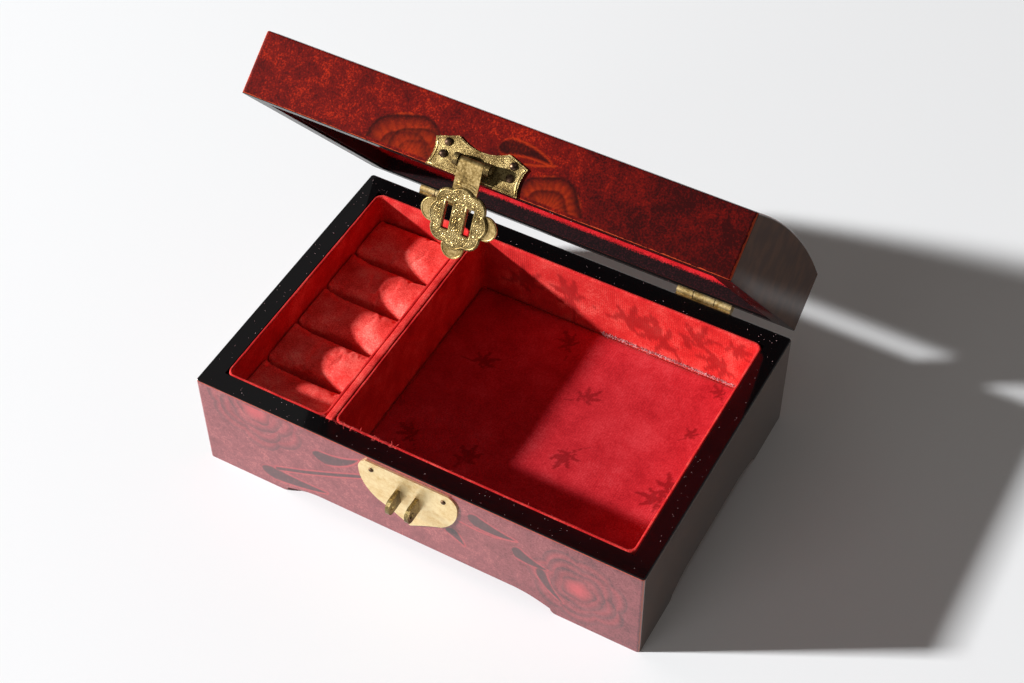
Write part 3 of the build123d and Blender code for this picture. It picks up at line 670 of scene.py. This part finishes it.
def new_tree(name, **sockets):
    """A Geometry Nodes tree with its named inputs, and the sockets that hand them out."""
    tree = bpy.data.node_groups.new(name, "GeometryNodeTree")
    for label, kind in {"Geometry": "Geometry", **sockets}.items():
        tree.interface.new_socket(label.replace("_", " "), in_out="INPUT", socket_type="NodeSocket" + kind)
    tree.interface.new_socket("Geometry", in_out="OUTPUT", socket_type="NodeSocketGeometry")
    return tree, tree.nodes.new("NodeGroupInput").outputs


def vector(tree, *parts):
    """A vector from numbers and sockets."""
    return add(tree, "ShaderNodeCombineXYZ", dict(enumerate(parts))).outputs[0]


def end_tree(tree, placed, material):
    """Ends a tree: its instances become real and get their material."""
    real = add(tree, "GeometryNodeRealizeInstances", {"Geometry": placed.outputs[0]})
    made = add(tree, "GeometryNodeSetMaterial", {"Geometry": real.outputs[0], "Material": material})
    add(tree, "NodeGroupOutput", {0: made.outputs[0]})
    return tree


def bare_mesh(name, points, edges=(), faces=()):
    """A mesh straight from points, for a tree to grow on."""
    mesh = bpy.data.meshes.new(name)
    mesh.from_pydata([tuple(p) for p in points], edges, faces)
    return mesh


def stud_tree(name, slotted, material):
    """Tree of a domed nail or a slotted screw: a flattened ball on a shank, at every point."""
    tree, given = new_tree(name, Head_radius="Float", Head_height="Float", Shank_radius="Float",
                           Length="Float", Turn="Vector")
    wide, high = given["Head radius"], given["Head height"]
    ball = add(tree, "GeometryNodeMeshUVSphere", {"Segments": 28, "Rings": 14, "Radius": 1.0})
    head = add(tree, "GeometryNodeTransform", {
        "Geometry": ball.outputs["Mesh"], "Scale": vector(tree, wide, wide, high)}).outputs["Geometry"]
    if slotted:
        slot = vector(tree, maths(tree, "MULTIPLY", wide, 3.0), maths(tree, "MULTIPLY", wide, 0.3), high)
        block = add(tree, "GeometryNodeMeshCube", {"Size": slot})
        block = add(tree, "GeometryNodeTransform", {
            "Geometry": block.outputs["Mesh"], "Translation": vector(tree, 0, 0, high)})
        head = add(tree, "GeometryNodeMeshBoolean", {0: head, 1: block.outputs["Geometry"]},
                   operation="DIFFERENCE").outputs["Mesh"]
    rod = add(tree, "GeometryNodeMeshCylinder", {"Vertices": 14, "Radius": given["Shank radius"],
                                                 "Depth": given["Length"]})
    sunk = vector(tree, 0, 0, maths(tree, "MULTIPLY", given["Length"], -0.5))
    rod = add(tree, "GeometryNodeTransform", {"Geometry": rod.outputs["Mesh"], "Translation": sunk})
    both = add(tree, "GeometryNodeJoinGeometry")
    tree.links.new(head, both.inputs[0])
    tree.links.new(rod.outputs["Geometry"], both.inputs[0])
    turned = add(tree, "FunctionNodeEulerToRotation", {0: given["Turn"]})
    placed = add(tree, "GeometryNodeInstanceOnPoints", {
        "Points": given["Geometry"], "Instance": both.outputs[0], "Rotation": turned.outputs[0]})
    return end_tree(tree, placed, material)


def set_studs(node, name, body, turn, facing, tree, sizes, places):
    """Sets studs into a board, at places in its own frame, in a CAD node's stead."""
    labels = ("Head radius", "Head height", "Shank radius", "Length")
    values = {label: size * mm for label, size in zip(labels, sizes)}
    studs = grown(name, body, bare_mesh("stud points", [turn @ Vector(p) for p in places]),
                  tree, {**values, "Turn": (turn @ facing).to_euler()})
    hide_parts(node)


hinge_brass = brass("satin brass of the hinges", "8a6c3a", "b89a62", "dcc490", 0.8, 0.15, 0.1, 0.34)
dark_brass = brass("dark patina on brass nails", "1f1611", "3c2b20", "6d5440", 0.7, 0.2, 0.1, 0.38)
dress(hinge_brass, "left_hinge_base_leaf", "right_hinge_base_leaf", "left_hinge_lid_leaf",
      "right_hinge_lid_leaf", "left_hinge_pin", "right_hinge_pin")

hinge = next(j for j in frame["joints"] if j["name"] == "lid_hinge")
hinge_point = Vector(hinge["pos_m"])
lid_open = radians(52.8)
lid_gap = 0.3 * mm
lid_turn = (Matrix.Translation(hinge_point) @ Matrix.Rotation(lid_open, 4, Vector((-1, 0, 0)))
            @ Matrix.Translation(-hinge_point)
            @ Matrix.Translation((0, case_middle_y, rim_z + lid_gap)))
facing_back = Euler((-pi / 2, 0, 0)).to_matrix().to_4x4()
screws = stud_tree("slotted screw", True, hinge_brass)
screw_x = [side_x + offset for side_x in (-64 * mm, 59.6 * mm) for offset in (-7.5 * mm, 7.5 * mm)]
screw_y = half_depth + 1.1 * mm - 0.25 * mm
from_hinge = 9 * mm
for body, turn, z in (("base", case_turn, rim_z + lid_gap / 2 - from_hinge),
                      ("lid", lid_turn, from_hinge - lid_gap / 2)):
    set_studs(f"hinge_screws_{body}", f"slotted_screws_{body}", body, turn, facing_back, screws,
              (1.95, 0.55, 0.9, 7.6), [(x, screw_y, z) for x in screw_x])


# Base plate of the clasp: thin bright brass with an ogee point, held by two domed nails, and
# two lugs that go through it, darker where they were filed and drilled.
plate_brass = brass("bright rolled brass", "dfc084", "ecd29c", "f6e2b2", 1.4, 0.08, 0.08, 0.4)
aged_brass = brass("stippled aged brass", "261c0c", "5c4a28", "9a875a", 0.42, 0.6, 0.3, 0.38)
dress(plate_brass, "clasp_base_plate")
dress(aged_brass, "clasp_left_lug", "clasp_right_lug")
clasp_x = -1.3 * mm
front_face = -half_depth - 0.8 * mm
facing_front = Euler((pi / 2, 0, 0)).to_matrix().to_4x4()
nails = stud_tree("domed nail", False, dark_brass)
set_studs("base_plate_nails", "domed_nails_base_plate", "base", case_turn, facing_front, nails,
          (1.1, 0.8, 0.6, 6.4), [(clasp_x + x * mm, front_face, 43 * mm) for x in (-16.2, 16.2)])


# Lid boards: the same lacquer, deeper and more orange, on a shallow tray with an arched top,
# with shell flowers painted beside the clasp.
lid_red = (0.16, 0.2, 0.13, "2c0303", "4e0604", "680c05", "a4240a")
dress(lacquer("mottled red lacquer of the lid", lid_turn, 0, lid_red, 0.35, 1.4),
      "lid_front_board", "lid_back_board", "lid_left_board", "lid_right_board", "lid_top_panel")


def shell(x, z, cx, cz, size):
    """A flower like an open shell: rays that spread from the rim, under dark round edges."""
    r, a = hypot(x - cx, z - cz), atan2(z - cz, x - cx)
    rays = 0.5 + 0.5 * sin(26 * a + 2.2 * noise.noise(Vector((x * 0.5, z * 0.5, 2))))
    dark = light = 0
    for share, depth in ((1.0, 1.0), (0.62, 0.75)):
        inside = size * share * (0.97 + 0.05 * cos(5 * a)) - r
        dark = max(dark, depth * exp(-inside / (0.16 * size)) if inside >= 0 else depth * bell(inside, 0.6))
    if r < size:
        light = (0.4 + 0.6 * rays) * (1 - dark)
    return dark, light


def lid_flowers(x, z):
    """The lid front's own layout: shell flowers at each side of the clasp, and one leaf."""
    return (
        shell(x, z, -25.0, -0.5, 12.2), shell(x, z, -29.5, -2.0, 17.5), shell(x, z, 29.0, -1.2, 13.4),
        leaf(x, z, 3.6, 15.2, 24.0, 15.6, 6.2, 1.6), stem(x, z, ((15, 12.3), (20, 13.4), (26, 15.4)), 0))


lid_paint = paint("painted shell lacquer of the lid", lid_turn, lid_red, "140302", "a83008", 0.35, 1.4)
new_piece("painted_flowers_lid", "lid", lid_paint,
          painted_sheet(lid_flowers, lambda x: 1.3, lambda x: 23.6, 0.5), turn=lid_turn, smooth=False)


# Lining of the lid: cloth-covered card round the walls, its edge showing as a thin red
# line inside the black rim, and a padded sheet under the arched top. Near the rim the
# cloth is darkened with painted shade.
inner_x, inner_y = half_width - board, half_depth - board
lid_cloth = cloth("red cloth of the lid with painted shade near the rim", "8a0a10", "b4141c", "d23038",
                  edge=lid_turn, sheen=0.12)
lid_band = new_piece(
    "lid_side_lining", "lid", lid_cloth,
    wall_band(Vector((-inner_x, -inner_y, -18.2 * mm)), Vector((inner_x, inner_y, 0)), -0.9 * mm,
              1.2 * mm, 4 * mm, 1.6 * mm),
    turn=lid_turn @ Matrix.Rotation(pi, 4, "X"))
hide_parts("lid_wall_lining")

lid_height, arch_rise, panel = 29.7 * mm, 4.7 * mm, 5.35 * mm
arch_radius = (half_depth ** 2 + arch_rise ** 2) / (2 * arch_rise)


def lid_pad_face(hang):
    """A face of the lid's pad: the arch of the panel at 0, and the padded side below it at 1."""
    def face(x, y):
        edge = min(inner_x - abs(x), inner_y - abs(y))
        arch = lid_height - arch_radius + sqrt((arch_radius - panel) ** 2 - y ** 2)
        puff = 0.9 * mm + (1 - exp(-edge / (6 * mm))) * 1.0 * mm
        return x, y, arch - hang * (puff + noise.noise(Vector((x * 40, y * 40, 5))) * 0.15 * mm)
    return face


lid_pad = new_piece(
    "lid_top_padding", "lid", lid_cloth,
    lambda bm: cushion(bm, Vector((-inner_x, -inner_y)) * 0.995, Vector((inner_x, inner_y)) * 0.995,
                       60, 44, lid_pad_face(0), lid_pad_face(1)), turn=lid_turn)
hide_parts("lid_top_pad")


# Lid plate and hasp: stamped, stippled brass, rubbed bright where it stands up, and held by
# four domed nails. Raised lines run round the plate, the petals and the slots of the flower,
# and punched beads cover the rest of it.
worn_brass = brass("worn brass of the strap", "4e3e20", "8e7545", "c0a672", 0.8, 0.3, 0.15, 0.38)
dress(aged_brass, "clasp_lid_plate", "hasp_pin", "hasp_flower")
dress(worn_brass, "hasp_strap")
set_studs("lid_plate_nails", "domed_nails_lid_plate", "lid", lid_turn, facing_front, nails,
          (1.6, 1.0, 0.6, 6.4), [(clasp_x + x * mm, front_face, z * mm)
                                 for x, z in ((-13.3, 10.2), (-13.6, 5.6), (13.6, 5.6), (13.3, 10.2))])


def bowed(start, middle, end, count):
    """Points from start towards end, on a curve through middle."""
    bend = [2 * m - (a + b) / 2 for a, m, b in zip(start, middle, end)]
    return [tuple((1 - t) ** 2 * a + 2 * t * (1 - t) * c + t * t * b
                  for a, c, b in zip(start, bend, end)) for t in (k / count for k in range(count))]


def wire(bm, points, place, width, height, closed):
    """A half-round raised line along points in a plane; place lifts a point off the plane."""
    rings = []
    for n, (u, v) in enumerate(points):
        before = points[n - 1] if closed or n else points[0]
        after = points[(n + 1) % len(points)] if closed or n + 1 < len(points) else points[-1]
        du, dv = after[0] - before[0], after[1] - before[1]
        size = hypot(du, dv) or 1
        across = (-dv / size, du / size)
        rings.append([place(u + across[0] * side * width / 2, v + across[1] * side * width / 2, up * height)
                      for side, up in ((-1, -0.5), (-0.75, 0.7), (0, 1), (0.75, 0.7), (1, -0.5))])
    loft(bm, rings, capped=not closed)


plate_edge = []
for start, middle, end, count in (
        ((18.7, 0), (17.6, 5.35), (18.7, 10.7), 8), ((18.7, 10.7), (14.45, 12.15), (10.2, 13.6), 4),
        ((10.2, 13.6), (0, 10.8), (-10.2, 13.6), 14), ((-10.2, 13.6), (-14.45, 12.15), (-18.7, 10.7), 4),
        ((-18.7, 10.7), (-17.6, 5.35), (-18.7, 0), 8), ((-18.7, 0), (0, 0), (18.7, 0), 16)):
    plate_edge += bowed(start, middle, end, count)
plate_middle = 6.5
plate_line = [(u * 0.95, plate_middle + (v - plate_middle) * 0.88) for u, v in plate_edge]


def on_plate(u, v, up):
    """A point on the lid plate, from the middle of its lower edge."""
    return clasp_x + u * mm, front_face - up * mm, v * mm


rubbed_brass = brass("brass rubbed bright on the raised lines", "74592e", "a68a52", "dcc48c",
                     0.5, 0.2, 0.1, 0.34)
new_piece("lid_plate_border", "lid", rubbed_brass,
          lambda bm: wire(bm, plate_line, on_plate, 0.55, 0.22, True), turn=lid_turn)

pin_out, pin_up, flap_lean = 4.5 * mm, 5.4 * mm, radians(25)
hasp_turn = (lid_turn @ Matrix.Translation((clasp_x, -half_depth - pin_out, pin_up))
             @ Matrix.Rotation(flap_lean, 4, "X"))


def on_flower(u, v, up):
    """A point on the flower's front, from its middle."""
    return u * mm, (-2.6 - up) * mm, (v - 20.7) * mm


def lobe_line(cx, cz, radius, start, end):
    """Points along a round lobe's edge, between two angles in degrees."""
    count = max(4, int((end - start) / 14))
    return [(cx + radius * cos(radians(start + (end - start) * k / count)),
             cz + radius * sin(radians(start + (end - start) * k / count))) for k in range(count + 1)]


def flower_relief(bm):
    """A raised line round the petals, and one round each slot."""
    edge = []
    for n in range(8):
        reach = 11.75 if n % 2 else 11.3
        corners = [(r * cos(radians(45 * n + a)), r * sin(radians(45 * n + a)))
                   for r, a in ((10.3, -22.5), (reach, 0), (10.3, 22.5))]
        edge += bowed(*corners, 6)
    wire(bm, edge, on_flower, 0.45, 0.2, True)
    for middle in (-4.3, 4.3):
        outline = [(middle - 1.9, -5.7), (middle + 1.9, -5.7), (middle + 1.9, 5.7), (middle - 1.9, 5.7)]
        runs = [bowed(a, tuple((p + q) / 2 for p, q in zip(a, b)), b, 4)
                for a, b in zip(outline, outline[1:] + outline[:1])]
        wire(bm, sum(runs, []), on_flower, 0.4, 0.18, True)


def strap_relief(bm):
    """Raised edges of the round lobes behind the flower, and two arcs where the strap meets it."""
    for line in ((-10.9, 0, 4.2, 75, 285), (10.9, 0, 4.2, -105, 105), (0, -10.9, 4.2, -195, 15),
                 (0, 0, 12.6, 72, 108), (0, 0, 13.7, 72, 108)):
        wire(bm, lobe_line(*line), lambda u, v, up: on_flower(u, v, up - 0.9), 0.45, 0.24, False)


new_piece("raised_lines_of_flower", "hasp", rubbed_brass, flower_relief, turn=hasp_turn)


def bead_tree(name, material):
    """Tree of punched beads: a low oval ball at every point, sized and turned at random."""
    tree, given = new_tree(name, Radius="Float", Turn="Vector", Seed="Int")
    ball = add(tree, "GeometryNodeMeshIcoSphere", {"Radius": given["Radius"], "Subdivisions": 1})
    low = add(tree, "GeometryNodeTransform", {"Geometry": ball.outputs["Mesh"], "Scale": (1.0, 1.0, 0.7)})
    face = add(tree, "FunctionNodeEulerToRotation", {0: given["Turn"]})
    spin = add(tree, "FunctionNodeRandomValue", {0: (0.0, 0.0, 0.0), 1: (0.0, 0.0, 6.283),
                                                 "Seed": given["Seed"]}, data_type="FLOAT_VECTOR")
    spin = add(tree, "FunctionNodeEulerToRotation", {0: spin.outputs[0]})
    both = add(tree, "FunctionNodeRotateRotation", {0: face.outputs[0], 1: spin.outputs[0]},
               rotation_space="LOCAL")
    size = add(tree, "FunctionNodeRandomValue", {0: (0.6, 0.5, 0.5), 1: (2.3, 1.2, 1.3), "Seed": 4},
               data_type="FLOAT_VECTOR")
    placed = add(tree, "GeometryNodeInstanceOnPoints", {
        "Points": given["Geometry"], "Instance": low.outputs[0], "Rotation": both.outputs[0],
        "Scale": size.outputs[0]})
    return end_tree(tree, placed, material)


beads = bead_tree("punched bead", rubbed_brass)
spots = []
noise.seed_set(5)
for row in range(-16, 17):
    for column in range(-15, 16):
        x, z = (column + 0.5 * (row % 2)) * 0.76, row * 0.66
        shake = noise.noise_vector(Vector((x * 1.7, z * 1.7, 3))) * 0.3
        x, z = x + shake.x, z + shake.y
        in_frame = abs(abs(x) - 4.3) < 2.3 and abs(z) < 6.2
        if hypot(x, z) < 10.2 and not in_frame:
            spots.append(hasp_turn @ Vector(on_flower(x, z, 0)))
grown("punched_beads_of_flower", "hasp", bare_mesh("bead points", spots), beads,
      {"Radius": 0.24 * mm, "Turn": (hasp_turn @ facing_front).to_euler(), "Seed": 5})
new_piece("raised_edges_of_strap", "hasp", rubbed_brass, strap_relief, turn=hasp_turn)


# Lint and dust: pale specks lie on the black rims, loose threads along the turned edges of
# the linings, pressed flat where the lid shuts on them, and in the crease of the floor.
def lint_tree(name, material):
    """Tree that strews little bent threads along a line, turned and sized at random, and
    presses them flat about a level where the lid lies on them."""
    tree, given = new_tree(name, Spacing="Float", Length="Float", Thickness="Float", Spread="Float",
                           Seed="Int", Level="Float", Flatness="Float")
    line = add(tree, "GeometryNodeMeshToCurve", {0: given["Geometry"]})
    dots = add(tree, "GeometryNodeCurveToPoints", {0: line.outputs[0], "Length": given["Spacing"]},
               mode="LENGTH")
    low, high = [add(tree, "ShaderNodeVectorMath", {0: way, "Scale": given["Spread"]}, operation="SCALE")
                 for way in ((-1, -1, 0), (1, 1, 0.3))]
    shift = add(tree, "FunctionNodeRandomValue", {"Seed": given["Seed"]}, data_type="FLOAT_VECTOR")
    tree.links.new(low.outputs[0], shift.inputs[0])
    tree.links.new(high.outputs[0], shift.inputs[1])
    moved = add(tree, "GeometryNodeSetPosition", {"Geometry": dots.outputs[0], "Offset": shift.outputs[0]})
    length = given["Length"]
    thread = add(tree, "GeometryNodeCurveQuadraticBezier", {
        "Resolution": 5, "Start": (0.0, 0.0, 0.0), "End": vector(tree, length, 0, length),
        "Middle": vector(tree, 0, 0, maths(tree, "MULTIPLY", length, 0.6))})
    section = add(tree, "GeometryNodeCurvePrimitiveCircle", {"Resolution": 4, "Radius": given["Thickness"]})
    solid = add(tree, "GeometryNodeCurveToMesh", {0: thread.outputs[0], 1: section.outputs[0],
                                                  "Fill Caps": True})
    turn = add(tree, "FunctionNodeRandomValue", {0: (-0.5, -0.5, 0.0), 1: (0.9, 0.5, 6.283), "Seed": 5},
               data_type="FLOAT_VECTOR")
    turned = add(tree, "FunctionNodeEulerToRotation", {0: turn.outputs[0]})
    size = add(tree, "FunctionNodeRandomValue", {2: 0.25, 3: 1.0, "Seed": 9}, data_type="FLOAT")
    placed = add(tree, "GeometryNodeInstanceOnPoints", {
        "Points": moved.outputs[0], "Instance": solid.outputs[0], "Rotation": turned.outputs[0],
        "Scale": size.outputs[1]})
    pressed = add(tree, "GeometryNodeTransform", {
        "Geometry": placed.outputs[0], "Translation": vector(tree, 0, 0, given["Level"]),
        "Scale": vector(tree, 1, 1, given["Flatness"])})
    return end_tree(tree, pressed, material)


def fibres(name, scale, *stops):
    """A dull material whose shade varies in soft patches."""
    material, tree, shader, place = finish(name, Roughness=0.9)
    tree.links.new(shades(tree, cloudy(tree, place, scale, 2), *stops), shader.inputs["Base Color"])
    return material


lint = fibres("red cotton lint", 300, (0.4, "b8141c"), (0.6, "f0605a"))
dust = fibres("grey and pink dust", 260, (0.42, "b98c90"), (0.6, "e6c4c6"))
edge_lint, crease_dust = lint_tree("lint along an edge", lint), lint_tree("dust in a crease", dust)
pressed_level = 49.28
for name, tree, route, values in (
        ("lint_front_edge", edge_lint, [(-46, -57.9, 0), (-30, -57.9, 0), (-12, -57.9, 0)],
         (0.26, 1.5, 0.09, 0.5, pressed_level, 3, 0.06)),
        ("lint_right_edge", edge_lint, [(12, -57.7, 0), (88, -57.7, 0), (90.3, -20, 0)],
         (2.6, 1.2, 0.07, 0.4, pressed_level, 4, 0.06)),
        ("lint_divider", edge_lint, [(-41.2, -56, 49.2), (-41.2, 30, 49.2)],
         (4.0, 1.4, 0.07, 0.5, 0, 6, 1)),
        ("dust_floor_crease", crease_dust, [(20, 56.1, 19.3), (52, 56.2, 19.5), (87, 56.1, 19.3)],
         (0.07, 0.9, 0.07, 0.6, 0, 8, 1))):
    points = [(x * mm, y * mm + case_middle_y, z * mm) for x, y, z in route]
    sizes = dict(zip(("Spacing", "Length", "Thickness", "Spread", "Level"), (v * mm for v in values[:5])))
    grown(name, "base", bare_mesh(name, points, [(k, k + 1) for k in range(len(points) - 1)]),
          tree, {**sizes, "Seed": values[5], "Flatness": values[6]})


def speck_tree(name, material):
    """Tree that strews specks of many sizes over the faces."""
    tree, given = new_tree(name, Count_per_square_metre="Float", Size="Float", Seed="Int")
    spots = add(tree, "GeometryNodeDistributePointsOnFaces", {
        "Mesh": given["Geometry"], "Density": given["Count per square metre"], "Seed": given["Seed"]})
    grain = add(tree, "GeometryNodeMeshIcoSphere", {"Radius": given["Size"], "Subdivisions": 1})
    size = add(tree, "FunctionNodeRandomValue", {2: 0.35, 3: 1.0, "Seed": 2}, data_type="FLOAT")
    placed = add(tree, "GeometryNodeInstanceOnPoints", {
        "Points": spots.outputs[0], "Instance": grain.outputs["Mesh"], "Scale": size.outputs[1]})
    return end_tree(tree, placed, material)


def rim_mesh(name, turn, z):
    """The four flat strips of a rim, as a plain mesh that dust falls on."""
    x0, x1, y0, y1 = half_width - 1.2 * mm, half_width - board, half_depth - 1.2 * mm, half_depth - board
    corners, faces = [], []
    for left, right, front, back in ((-x0, -x1, -y0, y0), (x1, x0, -y0, y0), (-x1, x1, -y0, -y1),
                                     (-x1, x1, y1, y0)):
        faces.append(tuple(range(len(corners), len(corners) + 4)))
        corners += [turn @ Vector((x, y, z)) for x, y in ((left, front), (right, front), (right, back),
                                                          (left, back))]
    return bare_mesh(name, corners, faces=faces)


specks = speck_tree("dust specks", dust)
for body, turn, z, density in (("base", case_turn, rim_z, 42000.0), ("lid", lid_turn, 0, 9000.0)):
    grown(f"dust_on_rim_{body}", body, rim_mesh(f"rim {body}", turn, z), specks,
          {"Count per square metre": density, "Size": 0.16 * mm, "Seed": 11})


# Stage: a pale table, a soft key from the front left, weak fills from the front and from
# above, a pale room, and the camera at the photograph's viewing angle.
reach = 3
corners = [(-reach, -reach, 0), (reach, -reach, 0), (reach, reach, 0), (-reach, reach, 0)]
table_mesh = bare_mesh("table", corners, faces=[(0, 1, 2, 3)])
table_mesh.materials.append(finish("pale matte table", Roughness=0.9, Base_Color=linear("f6f8fa"))[0])
table = bpy.data.objects.new("table", table_mesh)
bpy.context.scene.collection.objects.link(table)

world = bpy.data.worlds.new("pale room")
bpy.context.scene.world = world
world.use_nodes = True
room_tree = world.node_tree
background = room_tree.nodes["Background"]
rays = add(room_tree, "ShaderNodeLightPath").outputs
tone = blend(room_tree, rays["Is Diffuse Ray"], linear("f4f4f4"), linear("f4e6dc"))
room_tree.links.new(tone, background.inputs["Color"])
seen = maths(room_tree, "MAXIMUM", rays["Is Glossy Ray"], rays["Is Transmission Ray"])
strength = between(room_tree, rays["Is Camera Ray"], between(room_tree, seen, 0.1, 0.14), 1.0)
room_tree.links.new(strength, background.inputs["Strength"])


def soft_light(name, place, size, watts):
    """A square panel of light turned towards the box."""
    lamp = bpy.data.lights.new(name, "AREA")
    lamp.size = size
    lamp.energy = watts
    holder = bpy.data.objects.new(name, lamp)
    holder.location = place
    holder.rotation_mode = "QUATERNION"
    holder.rotation_quaternion = (Vector((0, 0, 0.06)) - Vector(place)).to_track_quat("-Z", "Y")
    bpy.context.scene.collection.objects.link(holder)


soft_light("key", (-6.45, -3.625, 3.15), 0.45, 1350)
soft_light("front fill", (-0.45, -1.5, 0.5), 0.8, 2.5)
soft_light("top fill", (0.2, -0.3, 1.7), 1.2, 1)

azimuth, elevation, roll = radians(29.643), radians(49.05), radians(-0.745)
backward = Vector((sin(azimuth) * cos(elevation), -cos(azimuth) * cos(elevation), sin(elevation)))
level = Vector((cos(azimuth), sin(azimuth), 0))
right = level * cos(roll) + backward.cross(level) * sin(roll)
camera_data = bpy.data.cameras.new("camera")
camera_data.sensor_width = 36
camera_data.lens = 67.77
camera_data.clip_start = 0.01
camera = bpy.data.objects.new("camera", camera_data)
bpy.context.scene.collection.objects.link(camera)
axes = Matrix((right, backward.cross(right), backward)).transposed()
camera.matrix_world = Matrix.Translation(Vector((254.107, -439.35, 638.672)) * mm) @ axes.to_4x4()
bpy.context.scene.camera = camera
bpy.context.scene.view_settings.view_transform = "Standard"
